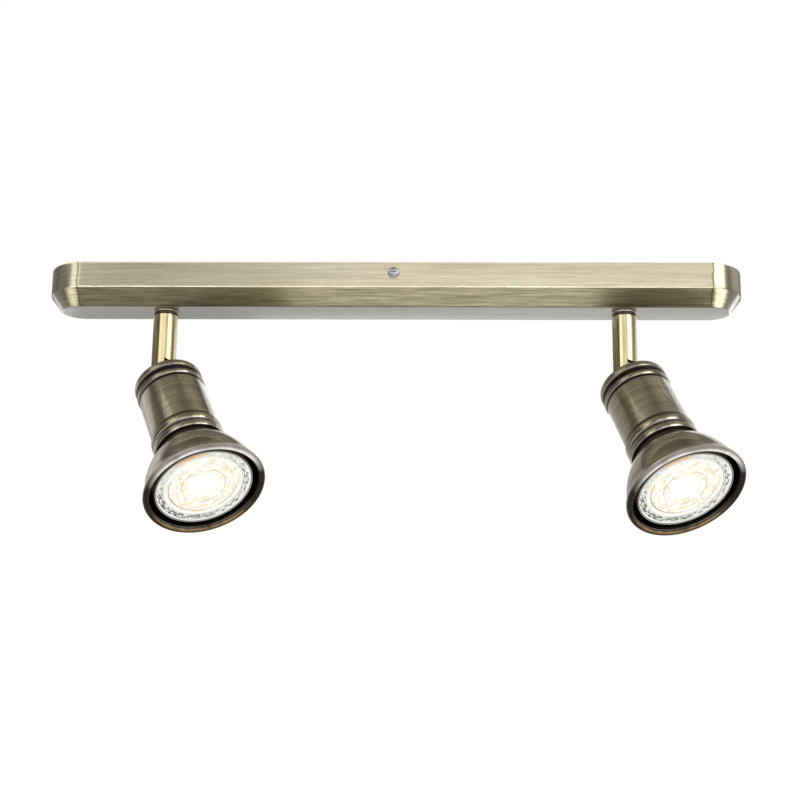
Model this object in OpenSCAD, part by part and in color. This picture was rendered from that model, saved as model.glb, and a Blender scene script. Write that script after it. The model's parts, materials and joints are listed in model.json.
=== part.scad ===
// Two-lamp spotlight bar in antique brass, hung below its mounting face.
// Frame: origin at the middle of the mounting face, +X along the bar, +Y to the back, +Z up.
// All sizes are in millimetres.

/* [Bar cover] */
// Length of the cover, end to end
bar_length = 362; // [340:1:400]
// Width of the cover at its open side
bar_width = 36.6; // [35:0.1:42]
// Height of the cover
bar_height = 22; // [21:0.1:26]
// Height of the upright side, down to the sloping edge
side_height = 14.1; // [12.5:0.1:15]
// Width of the sloping edge, seen from below
slope_width = 8.6; // [7.5:0.1:9]
// Sheet thickness of the cover
cover_wall = 1; // [0.8:0.1:1.2]
// Outer radius of the bends in the sheet
bend_r = 1; // [0.5:0.1:1.5]

/* [Mounting bracket] */
// Length of the bracket strip
bracket_length = 150; // [142:1:170]
// Width of the bracket strip
bracket_width = 24; // [22:0.5:26]
// Sheet thickness of the bracket
bracket_t = 1.5; // [1:0.1:2]
// Distance between the two fixing slots
slot_spacing = 120; // [100:1:126]
// Width of a fixing slot
slot_width = 4.5; // [4:0.1:5.5]
// Length of a fixing slot, end to end
slot_length = 12; // [8:0.5:14]
// Width of the bent ears that take the cover screws
ear_width = 16; // [10:0.5:18]
// Height of the bent ears below the mounting face
ear_height = 11; // [9.5:0.5:12]
// Gap between an ear and the cover's side
ear_gap = 0.3; // [0.1:0.1:0.5]

/* [Cover screws] */
// Distance of the screws below the mounting face
side_screw_drop = 6.5; // [5:0.1:7.5]
// Radius of the screw shank
side_screw_r = 1.45; // [1.2:0.05:1.9]
// Radius of the pan head
side_screw_head_r = 3; // [2.6:0.1:3.4]
// Height of the pan head
side_screw_head_h = 2.2; // [1.6:0.1:2.6]
// Length of the shank
side_screw_length = 6; // [4:0.5:7]

/* [Wiring] */
// Length of the terminal block along the bar
block_length = 16; // [14:0.5:20]
// Height of the terminal block
block_height = 12.5; // [11:0.5:14]
// Pitch of the three poles
pole_pitch = 8; // [7:0.5:9]
// Middle of the terminal block along the bar
block_x = 26; // [22:1:34]
// Middle of the earth screw along the bar
earth_x = -24; // [-34:1:-20]
// Radius of one lead
lead_r = 0.65; // [0.5:0.05:0.8]
// Radius of the sleeve at the tilt joint
sleeve_r = 1.3; // [1.2:0.05:1.4]

/* [Swivel] */
// Radius of the hollow threaded nipple
nipple_r = 4.95; // [4.5:0.05:5]
// Radius of the nipple's bore
nipple_bore_r = 4; // [3.2:0.1:4.1]
// Height of the nipple above the cover's inner face
nipple_rise = 5.5; // [5:0.1:6.5]
// Length of the nipple inside the arm
nipple_grip = 9; // [6:0.5:12]
// Height of the brass collar
collar_h = 1.3; // [1:0.1:2]
// Height of the dark friction ring
ring_h = 2.2; // [1.5:0.1:3]
// Thickness of the stop washer
stop_washer_t = 1.2; // [0.8:0.1:1.4]
// Width across the flats of the nut
nut_flats = 14; // [12.5:0.5:14]
// Height of the nut
nut_h = 3; // [2:0.1:3.4]

/* [Arms] */
// Distance between the two arms
arm_spacing = 240; // [200:1:260]
// Outer diameter of an arm
arm_d = 12.7; // [12.4:0.1:13.4]
// Wall of the arm tube
arm_wall = 1; // [0.8:0.05:1.1]
// Distance of the tilt axis below the mounting face
pivot_drop = 53.8; // [50:0.1:70]

/* [Tilt joint] */
// Radius of the tongue's round eye
eye_r = 7.8; // [7.4:0.1:8.2]
// Thickness of the tongue
tongue_t = 3.8; // [3:0.1:3.9]
// Sideways offset of the tongue from the arm's axis
tongue_offset = -1.1; // [-1.3:0.1:-1]
// Half width of the tongue's neck
neck_half = 4.3; // [3.5:0.1:4.6]
// Radius of the tilt screw
tilt_screw_r = 1.45; // [1.2:0.05:1.5]
// Radius of the tongue's foot on the head
foot_r = 5.5; // [5:0.1:6]
// Thickness of the tongue's foot
foot_t = 1.6; // [1.2:0.1:2]
// Radius of the stud behind the foot
stud_r = 2.45; // [2:0.05:2.5]

/* [Heads] */
// Distance from the tilt axis to the lamp's face
lamp_reach = 85.45; // [84:0.05:90]
// Outer radius of the plain barrel
barrel_r = 17.35; // [17.1:0.05:18.5]
// Wall of the barrel
barrel_wall = 1.15; // [0.9:0.05:1.4]
// How far the beads stand out from the barrel
bead_rise = 1.1; // [0.6:0.1:1.4]
// Thickness of the barrel's rear wall
rear_wall = 1.5; // [1.2:0.1:2]
// Radius at the middle of the rolled lip
lip_mid_r = 29.2; // [28.8:0.1:31]
// Radius of the rolled lip itself
lip_r = 1.6; // [1.2:0.1:2]
// Sheet thickness of the bell
bell_wall = 0.8; // [0.6:0.05:1]
// Turn of the left head, from straight forward
left_turn = 39.6; // [-90:0.1:90]
// Turn of the right head, from straight forward
right_turn = 34.5; // [-90:0.1:90]
// Tilt of the left head, from straight down
left_tilt = 31.8; // [20:0.1:45]
// Tilt of the right head, from straight down
right_tilt = 31.2; // [20:0.1:45]

/* [Lamps] */
// Radius of the lamp's face
lamp_r = 25; // [24.5:0.1:25.5]
// Distance from the lamp's face to the end of its base
lamp_depth = 47; // [45.5:0.1:47.5]
// Distance between the two pins
pin_spacing = 10; // [9.8:0.1:10.2]
// Radius of a pin's neck
pin_r = 1.5; // [1.4:0.05:1.6]
// Radius of a pin's head
pin_head_r = 2.5; // [2.4:0.05:2.6]
// Length of a pin
pin_length = 7.15; // [7:0.05:7.2]
// Turn that locks the lamp in its holder, in degrees
lock_turn = 40; // [30:1:45]
// Radius of the lamp holder
holder_r = 13.5; // [13.2:0.1:14]
// Height of the lamp holder
holder_h = 14; // [13.5:0.1:14.5]

/* [Hidden] */

$fn = 64;
// Small clearances
fit = 0.05;
seat = 0.3;
cut = 1;
slide = 0.1;
// Steps in a bend, a lip and a curve
bend_steps = 4;
lip_steps = 14;
curve_steps = 10;

LEFT = 0;
RIGHT = 1;
arm_x = [-arm_spacing / 2, arm_spacing / 2];
head_turn = [left_turn, right_turn];
head_tilt = [left_tilt, right_tilt];

// Levels of the bar
half_w = bar_width / 2;
end_x = bar_length / 2 - half_w;
flat_half = half_w - slope_width;
slope_angle = atan2(slope_width, bar_height - side_height);
inner_half = half_w - cover_wall;
floor_z = -bar_height + cover_wall;

// Levels of the swivel, from the cover down
ring_top = -bar_height - collar_h - fit;
tube_top = ring_top - ring_h;
nipple_top = floor_z + nipple_rise;
washer_z = floor_z + fit;
nut_z = washer_z + stop_washer_t;
arm_r = arm_d / 2;
arm_inner_r = arm_r - arm_wall;
nipple_hole_r = nipple_r + fit;
// The stop: a lug in the cover and a tab on the washer meet at both ends of the swivel
stop_width = 1.6;
stop_washer_r = nipple_r + 1.6;
lug_inner = stop_washer_r + 0.7;
lug_outer = lug_inner + 1.7;
lug_height = stop_washer_t - 0.1;

// Tilt joint
pivot_z = -pivot_drop;
pocket_r = eye_r + seat;
arm_end_r = eye_r - 0.2;
slot_t = tongue_t + 2 * slide;
fork_r = arm_inner_r - fit;
fork_top = pivot_z + pocket_r + 3;
groove_r = sleeve_r + slide;
groove_reach = arm_inner_r - sleeve_r - fit;
groove_angle = 49.6;
groove_x = groove_reach * cos(groove_angle);
groove_y = groove_reach * sin(groove_angle);
tilt_hole_r = tilt_screw_r + fit;
tilt_face_x = arm_r - 1.15;
tilt_head_r = tilt_screw_r + 1.3;
tilt_head_h = 2;
tilt_nut_flats = 2 * tilt_screw_r + 2.6;
tilt_nut_h = 1.8;
nut_face_x = -arm_r + 1.35;

// Levels of a head, measured along its axis from the tilt axis (downwards is negative)
foot_top = -(eye_r + seat);
rear_z = foot_top - foot_t;
rear_inner = rear_z - rear_wall;
face_z = -lamp_reach;
neck_z = face_z + 25.4;
bore_r = barrel_r - barrel_wall;
spigot_r = bore_r - fit;
spigot_length = 7;
base_z = face_z + lamp_depth;
holder_face = base_z + seat;
holder_rear = holder_face + holder_h;
plate_t = 2.6;
cavity_top = holder_face + pin_length + 0.8;
contact_t = 0.6;
contact_hole_r = 1.1;
pin_gap = 0.25;
bracket_leg_y = 12.3;
holder_bracket_t = 1;
holder_bracket_half = 4;
holder_screw_y = 9.5;
holder_screw_r = 1.45;
holder_head_r = 2.75;
holder_sink = 3;
stud_length = 9;
tongue_washer_t = 1;
tongue_nut_flats = 8;
tongue_nut_h = 4;
sleeve_hole = [6.5, 6];
sleeve_hole_r = 2.4;
sleeve_top = fork_top + 3;

// Turned rings of the barrel, from its rear end and from its neck
rear_chamfer = 0.45;
crown_r = 2;
crown_rise = 0.5;
rear_bead_h = 3.8;
rear_bead_gap = 1.9;
groove = 0.45;
groove_w = 0.5;
second_bead_h = 4.3;
second_bead_in = 0.35;
second_bead_less = 0.195;
step_r = 0.1;
step_h = 0.3;
front_beads_h = 11.1;
third_bead_h = 5.3;
bead_gap = 0.2;
last_bead_in = 0.15;

// Curve of the bell: its neck, its shoulder, its flare and its rim
bell_neck_r = barrel_r - second_bead_in;
bell_neck_pull = 1.2;
shoulder_out = 1.55;
shoulder_drop = 3;
shoulder = [barrel_r + shoulder_out, neck_z - shoulder_drop];
shoulder_pull_r = 0.6;
shoulder_pull_z = 1.8;
flare_pull = 3.5;
rim_pull_r = 1.4;
rim_pull_z = 11.5;
rim_out = 0.4;
rim_above = 1;
lip_drop = 0.2;

// Body of the lamp: its waist and base clear the bell's spigot
lamp_gap = 1.15;
base_draft = 1;
base_top_r = spigot_r - bell_wall - lamp_gap;
base_end_r = base_top_r - base_draft;
base_top_z = neck_z + slide;
base_h = 11;
lamp_rim = 4.5;
lamp_wall = 1.2;
lamp_floor_h = 21;
lamp_floor = face_z + lamp_floor_h;
body_pull_r = 0.8;
body_pull_z = 13;
waist_pull_r = 2.6;
waist_pull_z = 5;
lens_seat = face_z + 4;

// Lens, board and pins of the lamp
lens_front = face_z + 1.1;
lens_dish_r = 11;
lens_ridge_w = 0.6;
lens_ridge_h = 0.5;
lens_edge_w = 3;
cone_r = 12;
cone_step_r = 2.5;
cone_step_h = 5;
cone_end_r = 5.5;
cone_tip_h = 1;
lens_rear = face_z + 16;
board_t = 1.5;
board_r = 12;
chip_t = 0.8;
chip_r = 5.2;
pin_play = 0.55;

// Terminal block
block_z = -bracket_t;
block_width = 3 * pole_pitch;
wire_z = block_z - 0.6 * block_height;
pole_bore_r = 1.8;
pole_screw_r = 1.5;
pole_screw_x = block_length * 0.28;
block_sink = 2;
screw_slot = 0.5;
run_y = [9, 12];
run_z = -10;

// Earth screw, with a ring terminal under its head
earth_shank_r = side_screw_r + 0.5;
earth_head_h = 2.4;
ring_terminal_t = 0.8;
ring_tail = 8;
ring_tail_w = 3;

// A point of the head's frame, in the arm's frame at rest
function to_arm(p, side) = [
  p[0],
  p[1] * cos(head_tilt[side]) + p[2] * sin(head_tilt[side]),
  pivot_z - p[1] * sin(head_tilt[side]) + p[2] * cos(head_tilt[side])
];

// Points of an arc about a centre, from one angle to another
function arc(centre, r, from, to, steps) = [
  for (i = [0 : steps]) let (a = from + (to - from) * i / steps) centre + r * [cos(a), sin(a)]
];

// Points of a Bezier curve with two handles
function curve(a, b, c, d, steps) = [
  for (i = [0 : steps]) let (t = i / steps, u = 1 - t)
    u * u * u * a + 3 * u * u * t * b + 3 * u * t * t * c + t * t * t * d
];

// The same outline moved sideways by one sheet thickness, to the right of its way
function unit(v) = v / norm(v);
function moved_in(p, t) = [
  for (i = [0 : len(p) - 1])
    let (d = unit(p[min(i + 1, len(p) - 1)] - p[max(i - 1, 0)])) p[i] + t * [d[1], -d[0]]
];
function reversed(p) = [for (i = [len(p) - 1 : -1 : 0]) p[i]];
function mirrored(p) = [for (q = p) [-q[0], q[1]]];

// A smooth line through hand-picked points
function spline(p, steps) = [
  for (i = [0 : len(p) - 2]) for (k = [0 : steps - 1])
    let (
      t = k / steps,
      a = p[max(i - 1, 0)],
      b = p[i],
      c = p[i + 1],
      d = p[min(i + 2, len(p) - 1)]
    )
      0.5 * (2 * b + (c - a) * t + (2 * a - 5 * b + 4 * c - d) * t * t
        + (3 * b - 3 * c + d - a) * t * t * t),
  p[len(p) - 1]
];

// A round wire along a line of points
module wire(line, r, sides = 8) {
  last = len(line) - 1;
  t = [for (i = [0 : last]) unit(line[min(i + 1, last)] - line[max(i - 1, 0)])];
  side_way = abs(t[0][2]) > 0.9 ? [1, 0, 0] : [0, 0, 1];
  n = [
    for (
      i = 0, v = unit(cross(t[0], side_way));
      i <= last;
      v = i < last ? unit(v - (v * t[i + 1]) * t[i + 1]) : v, i = i + 1
    ) v
  ];
  points = [
    for (i = [0 : last]) for (k = [0 : sides - 1])
      let (a = 360 * k / sides) line[i] + r * (cos(a) * n[i] + sin(a) * cross(t[i], n[i]))
  ];
  walls = [
    for (i = [0 : last - 1]) for (k = [0 : sides - 1])
      let (
        a = i * sides + k,
        b = i * sides + (k + 1) % sides,
        c = a + sides,
        d = b + sides
      ) each [[a, c, d], [a, d, b]]
  ];
  start_cap = [for (k = [0 : sides - 1]) k];
  end_cap = [for (k = [sides - 1 : -1 : 0]) last * sides + k];
  polyhedron(points = points, faces = concat(walls, [start_cap, end_cap]));
}

// The arm's own frame: on its axis, with -Y towards where its head aims
module at_arm(side) {
  translate([arm_x[side], 0, 0]) rotate([0, 0, head_turn[side]]) children();
}

// The head's own frame: on the tilt axis, with -Z towards the lamp's face
module at_head(side) {
  at_arm(side) translate([0, 0, pivot_z]) rotate([-head_tilt[side], 0, 0]) children();
}

module hexagon(flats, h) {
  cylinder(r = flats / sqrt(3), h = h, $fn = 6);
}

// A pan head with a cross recess, its flat side at z = 0
module pan_head(r, h) {
  difference() {
    rotate_extrude() polygon(concat(
      [[0, 0], [r, 0], [r, h * 0.35]],
      curve([r, h * 0.35], [r * 0.96, h * 0.8], [r * 0.7, h], [0, h], 6)
    ));
    for (a = [0, 90]) rotate([0, 0, a])
      translate([-r * 0.55, -r * 0.1, h * 0.45]) cube([r * 1.1, r * 0.2, h]);
  }
}

// Outline of the cover's section, from the open edge to the flat
function cover_outer() = concat(
  [[half_w, 0]],
  arc([half_w - bend_r, -side_height + bend_r * tan(slope_angle / 2)], bend_r,
    0, -slope_angle, bend_steps),
  arc([flat_half - bend_r * tan((90 - slope_angle) / 2), -bar_height + bend_r], bend_r,
    -slope_angle, -90, bend_steps)
);
function cover_inner() = [
  [inner_half, 0],
  [inner_half, -side_height + cover_wall * tan(slope_angle / 2)],
  [flat_half - cover_wall * tan((90 - slope_angle) / 2), floor_z]
];

module bar_cover() {
  half = concat(cover_outer(), [[0, -bar_height], [0, floor_z]], reversed(cover_inner()));
  whole = concat(
    cover_outer(), mirrored(reversed(cover_outer())),
    mirrored(cover_inner()), reversed(cover_inner())
  );
  color([0.68, 0.63, 0.48]) {
    difference() {
      union() {
        rotate([90, 0, 90]) linear_extrude(2 * end_x, center = true) polygon(whole);
        for (s = [0, 1]) rotate([0, 0, 180 * s])
          translate([end_x, 0, 0]) rotate([0, 0, -90]) rotate_extrude(angle = 180) polygon(half);
      }
      for (x = arm_x) translate([x, 0, -bar_height - cut])
        cylinder(r = nipple_hole_r, h = cover_wall + 2 * cut);
      translate([0, 0, -side_screw_drop]) rotate([90, 0, 0])
        cylinder(r = side_screw_r + 3 * fit, h = bar_width + 2 * cut, center = true);
    }
    for (x = arm_x) translate([x - stop_width / 2, lug_inner, floor_z])
      cube([stop_width, lug_outer - lug_inner, lug_height]);
  }
}

module mounting_bracket() {
  ear_y = inner_half - ear_gap;
  color([0.72, 0.73, 0.74]) difference() {
    union() {
      translate([-bracket_length / 2, -bracket_width / 2, -bracket_t])
        cube([bracket_length, bracket_width, bracket_t]);
      translate([-ear_width / 2, -ear_y, -bracket_t]) cube([ear_width, 2 * ear_y, bracket_t]);
      for (s = [0, 1]) rotate([0, 0, 180 * s])
        translate([-ear_width / 2, ear_y - bracket_t, -ear_height])
          cube([ear_width, bracket_t, ear_height]);
    }
    for (x = [-slot_spacing / 2, slot_spacing / 2]) translate([x, 0, -bracket_t - cut]) {
      straight = slot_length - slot_width;
      translate([-straight / 2, -slot_width / 2, 0])
        cube([straight, slot_width, bracket_t + 2 * cut]);
      for (e = [-straight / 2, straight / 2]) translate([e, 0, 0])
        cylinder(d = slot_width, h = bracket_t + 2 * cut);
    }
    translate([0, 0, -side_screw_drop]) rotate([90, 0, 0])
      cylinder(r = side_screw_r + fit, h = bar_width, center = true);
    translate([block_x, pole_pitch / 2, -bracket_t - cut])
      cylinder(r = pole_screw_r + fit, h = bracket_t + 2 * cut);
    translate([earth_x, 0, -bracket_t - cut])
      cylinder(r = earth_shank_r + fit, h = bracket_t + 2 * cut);
  }
}

module cover_screws() {
  color([0.75, 0.76, 0.78])
    for (s = [0, 1]) rotate([0, 0, 180 * s])
      translate([0, -half_w, -side_screw_drop]) rotate([90, 0, 0]) {
        pan_head(side_screw_head_r, side_screw_head_h);
        translate([0, 0, -side_screw_length]) cylinder(r = side_screw_r, h = side_screw_length);
      }
}

module terminal_block() {
  color([0.92, 0.92, 0.9]) translate([block_x, 0, block_z]) difference() {
    translate([-block_length / 2, -block_width / 2, -block_height])
      cube([block_length, block_width, block_height]);
    for (i = [-1 : 1]) translate([0, i * pole_pitch, 0]) {
      translate([0, 0, wire_z - block_z]) rotate([0, 90, 0])
        cylinder(r = pole_bore_r, h = block_length + 2 * cut, center = true);
      for (x = [-pole_screw_x, pole_screw_x]) translate([x, 0, -block_height - cut])
        cylinder(r = pole_screw_r + 2 * fit, h = 0.4 * block_height + cut);
    }
    translate([0, pole_pitch / 2, -block_height - cut])
      cylinder(r = pole_screw_r + 2 * fit, h = block_height + 2 * cut);
    translate([0, pole_pitch / 2, -block_height - cut])
      cylinder(r = 1.3 * pole_screw_r, h = block_sink + cut);
  }
}

module terminal_screws() {
  bottom = block_z - block_height + screw_slot;
  top = wire_z - lead_r - fit;
  color([0.8, 0.7, 0.4])
    for (i = [-1 : 1]) for (x = [-pole_screw_x, pole_screw_x])
      translate([block_x + x, i * pole_pitch, bottom]) difference() {
        cylinder(r = pole_screw_r, h = top - bottom);
        translate([-pole_screw_r, -screw_slot / 2, -cut])
          cube([2 * pole_screw_r, screw_slot, cut + 1.2 * screw_slot]);
      }
}

module block_screw() {
  color([0.75, 0.76, 0.78])
    translate([block_x, pole_pitch / 2, block_z - block_height + block_sink]) {
      mirror([0, 0, 1]) pan_head(1.25 * pole_screw_r, 0.8 * block_sink);
      cylinder(r = pole_screw_r, h = block_height - block_sink + bracket_t);
    }
}

module earth_screw() {
  color([0.78, 0.7, 0.4]) translate([earth_x, 0, -bracket_t - ring_terminal_t]) {
    mirror([0, 0, 1]) pan_head(earth_shank_r * 2, earth_head_h);
    cylinder(r = earth_shank_r, h = bracket_t + ring_terminal_t);
    difference() {
      union() {
        cylinder(r = earth_shank_r * 1.9, h = ring_terminal_t);
        translate([0, -ring_tail_w / 2, 0]) cube([ring_tail, ring_tail_w, ring_terminal_t]);
      }
      translate([0, 0, -cut]) cylinder(r = earth_shank_r + fit, h = ring_terminal_t + 2 * cut);
    }
  }
}

module earth_lead() {
  start = [earth_x + ring_tail + fit, 0, -bracket_t - ring_terminal_t / 2 - lead_r];
  stop = [block_x - block_length / 2 + 5.5, -pole_pitch, wire_z];
  color([0.45, 0.65, 0.15]) wire(spline([
    start,
    start + [3, -0.5, -1],
    start + [9, -4, -5],
    stop - [12, -1, 0],
    stop - [7, 0, 0],
    stop
  ], 3), lead_r);
}

// The two leads from the terminal block to the top of a nipple
module bar_leads(side) {
  way = side == LEFT ? -1 : 1;
  away = abs(arm_x[side]);
  block_face = block_x + way * block_length / 2;
  color([0.5, 0.3, 0.15]) for (k = [0, 1]) {
    y = k * pole_pitch;
    in_y = k == 0 ? -1.5 : 1.5;
    wire(spline([
      [block_face - way * 5.5, y, wire_z],
      [block_face + way * 3, y, wire_z],
      [block_face + way * 12, run_y[k] - 1, run_z],
      [way * (away - 60), run_y[k], run_z],
      [way * (away - 30), run_y[k], run_z],
      [way * (away - 14), in_y + 2, run_z + 0.6],
      [way * (away - 6), in_y, run_z + 1],
      [way * (away - 1.5), in_y, run_z - 1],
      [way * away, in_y, nipple_top + 0.4]
    ], 3), lead_r);
  }
}

module swivel_collar(side) {
  color([0.75, 0.65, 0.38]) at_arm(side) translate([0, 0, -bar_height - collar_h])
    difference() {
      cylinder(r = arm_r, h = collar_h);
      translate([0, 0, -cut]) cylinder(r = nipple_hole_r, h = collar_h + 2 * cut);
    }
}

module friction_ring(side) {
  color([0.22, 0.14, 0.08]) at_arm(side) translate([0, 0, tube_top])
    difference() {
      cylinder(r = arm_r - fit, h = ring_h);
      translate([0, 0, -cut]) cylinder(r = nipple_hole_r, h = ring_h + 2 * cut);
    }
}

module swivel_nipple(side) {
  bottom = tube_top - nipple_grip;
  color([0.78, 0.7, 0.4]) at_arm(side) translate([0, 0, bottom]) difference() {
    cylinder(r = nipple_r, h = nipple_top - bottom);
    translate([0, 0, -cut]) cylinder(r = nipple_bore_r, h = nipple_top - bottom + 2 * cut);
  }
}

module stop_washer(side) {
  color([0.7, 0.71, 0.73]) at_arm(side) translate([0, 0, washer_z]) difference() {
    union() {
      cylinder(r = stop_washer_r, h = stop_washer_t);
      translate([-stop_width / 2, -lug_outer, 0])
        cube([stop_width, lug_outer - nipple_r - fit, stop_washer_t]);
    }
    translate([0, 0, -cut]) cylinder(r = nipple_hole_r, h = stop_washer_t + 2 * cut);
  }
}

module swivel_nut(side) {
  color([0.78, 0.7, 0.4]) at_arm(side) translate([0, 0, nut_z]) difference() {
    hexagon(nut_flats, nut_h);
    translate([0, 0, -cut]) cylinder(r = nipple_hole_r, h = nut_h + 2 * cut);
  }
}

// The pocket that the tongue turns in, the screw hole and the two seats for its head and nut
module tilt_cuts() {
  translate([tongue_offset - slot_t / 2, 0, pivot_z]) rotate([0, 90, 0])
    cylinder(r = pocket_r, h = slot_t);
  translate([-arm_d, 0, pivot_z]) rotate([0, 90, 0]) cylinder(r = tilt_hole_r, h = 2 * arm_d);
  translate([tilt_face_x, 0, pivot_z]) rotate([0, 90, 0])
    cylinder(r = tilt_head_r + 0.2, h = arm_d);
  translate([nut_face_x - arm_d, 0, pivot_z]) rotate([0, 90, 0])
    cylinder(r = tilt_nut_flats / sqrt(3) + 0.2, h = arm_d);
}

module arm_tube(side) {
  end_outer = pivot_z - sqrt(arm_end_r * arm_end_r - arm_r * arm_r);
  end_inner = pivot_z - sqrt(arm_end_r * arm_end_r - arm_inner_r * arm_inner_r);
  neck_bottom = tube_top - nipple_grip - 1;
  color([0.75, 0.65, 0.38]) at_arm(side) difference() {
    rotate_extrude() polygon([
      [nipple_hole_r, tube_top], [arm_r, tube_top], [arm_r, end_outer],
      [arm_inner_r, end_inner], [arm_inner_r, neck_bottom], [nipple_hole_r, neck_bottom]
    ]);
    tilt_cuts();
  }
}

module arm_fork(side) {
  edge = asin(fork_r / arm_end_r);
  color([0.72, 0.62, 0.36]) at_arm(side) difference() {
    rotate_extrude() polygon(concat(
      [[0, fork_top], [fork_r, fork_top]],
      arc([0, pivot_z], arm_end_r, edge - 90, -90, bend_steps)
    ));
    tilt_cuts();
    translate([groove_x, groove_y, pivot_z - arm_end_r - cut])
      cylinder(r = groove_r, h = fork_top - pivot_z + arm_end_r + 2 * cut);
  }
}

module tilt_screw(side) {
  color([0.75, 0.76, 0.78]) at_arm(side) translate([0, 0, pivot_z]) rotate([0, 90, 0]) {
    translate([0, 0, tilt_face_x]) pan_head(tilt_head_r, tilt_head_h);
    translate([0, 0, nut_face_x - tilt_nut_h - 0.4])
      cylinder(r = tilt_screw_r, h = tilt_face_x - nut_face_x + tilt_nut_h + 0.4);
  }
}

module tilt_nut(side) {
  color([0.75, 0.76, 0.78]) at_arm(side)
    translate([nut_face_x - tilt_nut_h, 0, pivot_z]) rotate([0, 90, 0]) difference() {
      hexagon(tilt_nut_flats, tilt_nut_h);
      translate([0, 0, -cut]) cylinder(r = tilt_hole_r, h = tilt_nut_h + 2 * cut);
    }
}

module arm_leads(side) {
  color([0.5, 0.3, 0.15]) at_arm(side) for (k = [-1, 1]) wire(spline([
    [0, 1.5 * k, nipple_top - 0.2],
    [0, 1.5 * k, floor_z],
    [0, 1.5 * k, tube_top],
    [0.5, 1 + 0.9 * k, tube_top - 6],
    [groove_x, groove_y + 0.7 * k, sleeve_top + 2],
    [groove_x, groove_y + 0.7 * k, sleeve_top + 0.1]
  ], 3), lead_r);
}

module lead_sleeve(side) {
  hole = sleeve_hole;
  color([0.86, 0.83, 0.76]) at_arm(side) wire(spline([
    [groove_x, groove_y, sleeve_top],
    [groove_x, groove_y, fork_top - 2],
    [groove_x, groove_y, pivot_z],
    [groove_x, groove_y, pivot_z - 6],
    to_arm([3.4, 8.4, rear_z + 3.4], side),
    to_arm([5.3, 8.7, rear_z + 2.2], side),
    to_arm([hole[0], hole[1] + 0.9, rear_z + 0.9], side),
    to_arm([hole[0], hole[1] + 0.1, rear_z - 0.7], side),
    to_arm([hole[0], hole[1] - 0.2, rear_inner - 2.6], side)
  ], 3), sleeve_r, 10);
}

module tilt_tongue(side) {
  color([0.78, 0.79, 0.8]) at_head(side) {
    difference() {
      union() {
        translate([tongue_offset - tongue_t / 2, 0, 0]) rotate([0, 90, 0])
          cylinder(r = eye_r, h = tongue_t);
        translate([tongue_offset - tongue_t / 2, -neck_half, foot_top - foot_t / 2])
          cube([tongue_t, 2 * neck_half, -foot_top + foot_t / 2]);
        translate([0, 0, rear_z]) cylinder(r = foot_r, h = foot_t);
        translate([0, 0, rear_z - stud_length]) cylinder(r = stud_r, h = stud_length + foot_t / 2);
      }
      translate([-arm_d, 0, 0]) rotate([0, 90, 0]) cylinder(r = tilt_hole_r, h = 2 * arm_d);
    }
  }
}

module tongue_nut(side) {
  washer_top = rear_inner - holder_bracket_t;
  color([0.75, 0.76, 0.78]) at_head(side) difference() {
    union() {
      translate([0, 0, washer_top - tongue_washer_t]) cylinder(r = stud_r * 2, h = tongue_washer_t);
      translate([0, 0, washer_top - tongue_washer_t - tongue_nut_h])
        hexagon(tongue_nut_flats, tongue_nut_h);
    }
    translate([0, 0, washer_top - 2 * tongue_nut_h]) cylinder(r = stud_r + fit, h = 3 * tongue_nut_h);
  }
}

// One rounded bead on a turned outline, between two levels
function bead(top, bottom, r, rise) = [
  for (i = [0 : 6]) let (a = 180 * i / 6)
    [r + rise * sin(a), (top + bottom) / 2 + (top - bottom) / 2 * cos(a)]
];

module head_barrel(side) {
  first_top = rear_z - rear_chamfer;
  first_bottom = first_top - rear_bead_h;
  second_top = first_bottom - rear_bead_gap;
  second_bottom = second_top - second_bead_h;
  third_top = neck_z + front_beads_h;
  third_bottom = third_top - third_bead_h;
  outline = concat(
    [[0, rear_z], [barrel_r - crown_r - bead_gap, rear_z]],
    arc([barrel_r + crown_rise - crown_r, first_top - crown_r], crown_r, 75, 0, bend_steps),
    [[barrel_r + crown_rise - fit, first_bottom], [barrel_r - groove, first_bottom - groove_w]],
    bead(second_top, second_bottom, barrel_r - second_bead_in, bead_rise - second_bead_less),
    [[barrel_r - step_r, second_bottom - step_h], [barrel_r, second_bottom - 2 * step_h]],
    bead(third_top, third_bottom + bead_gap, barrel_r, bead_rise),
    bead(third_bottom - bead_gap, neck_z + bead_gap, barrel_r - last_bead_in, bead_rise + step_h),
    [[barrel_r - bead_gap, neck_z]]
  );
  inside = [[bore_r, neck_z], [bore_r, rear_inner], [0, rear_inner]];
  color([0.45, 0.4, 0.3]) at_head(side) difference() {
    rotate_extrude() polygon(concat(outline, inside));
    translate([0, 0, rear_inner - cut]) cylinder(r = stud_r + fit, h = rear_wall + 2 * cut);
    translate([sleeve_hole[0], sleeve_hole[1], rear_inner - cut])
      cylinder(r = sleeve_hole_r, h = rear_wall + 2 * cut);
  }
}

// Outline of the bell, from its neck to its lip
function bell_outer() = concat(
  curve([bell_neck_r, neck_z], [bell_neck_r, neck_z - bell_neck_pull],
    [bell_neck_r + shoulder_pull_r, neck_z - shoulder_pull_z], shoulder, 4),
  curve(shoulder, shoulder + [flare_pull, -flare_pull],
    [lip_mid_r - rim_pull_r, face_z + rim_pull_z], [lip_mid_r + rim_out, face_z + rim_above],
    curve_steps)
);

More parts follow.
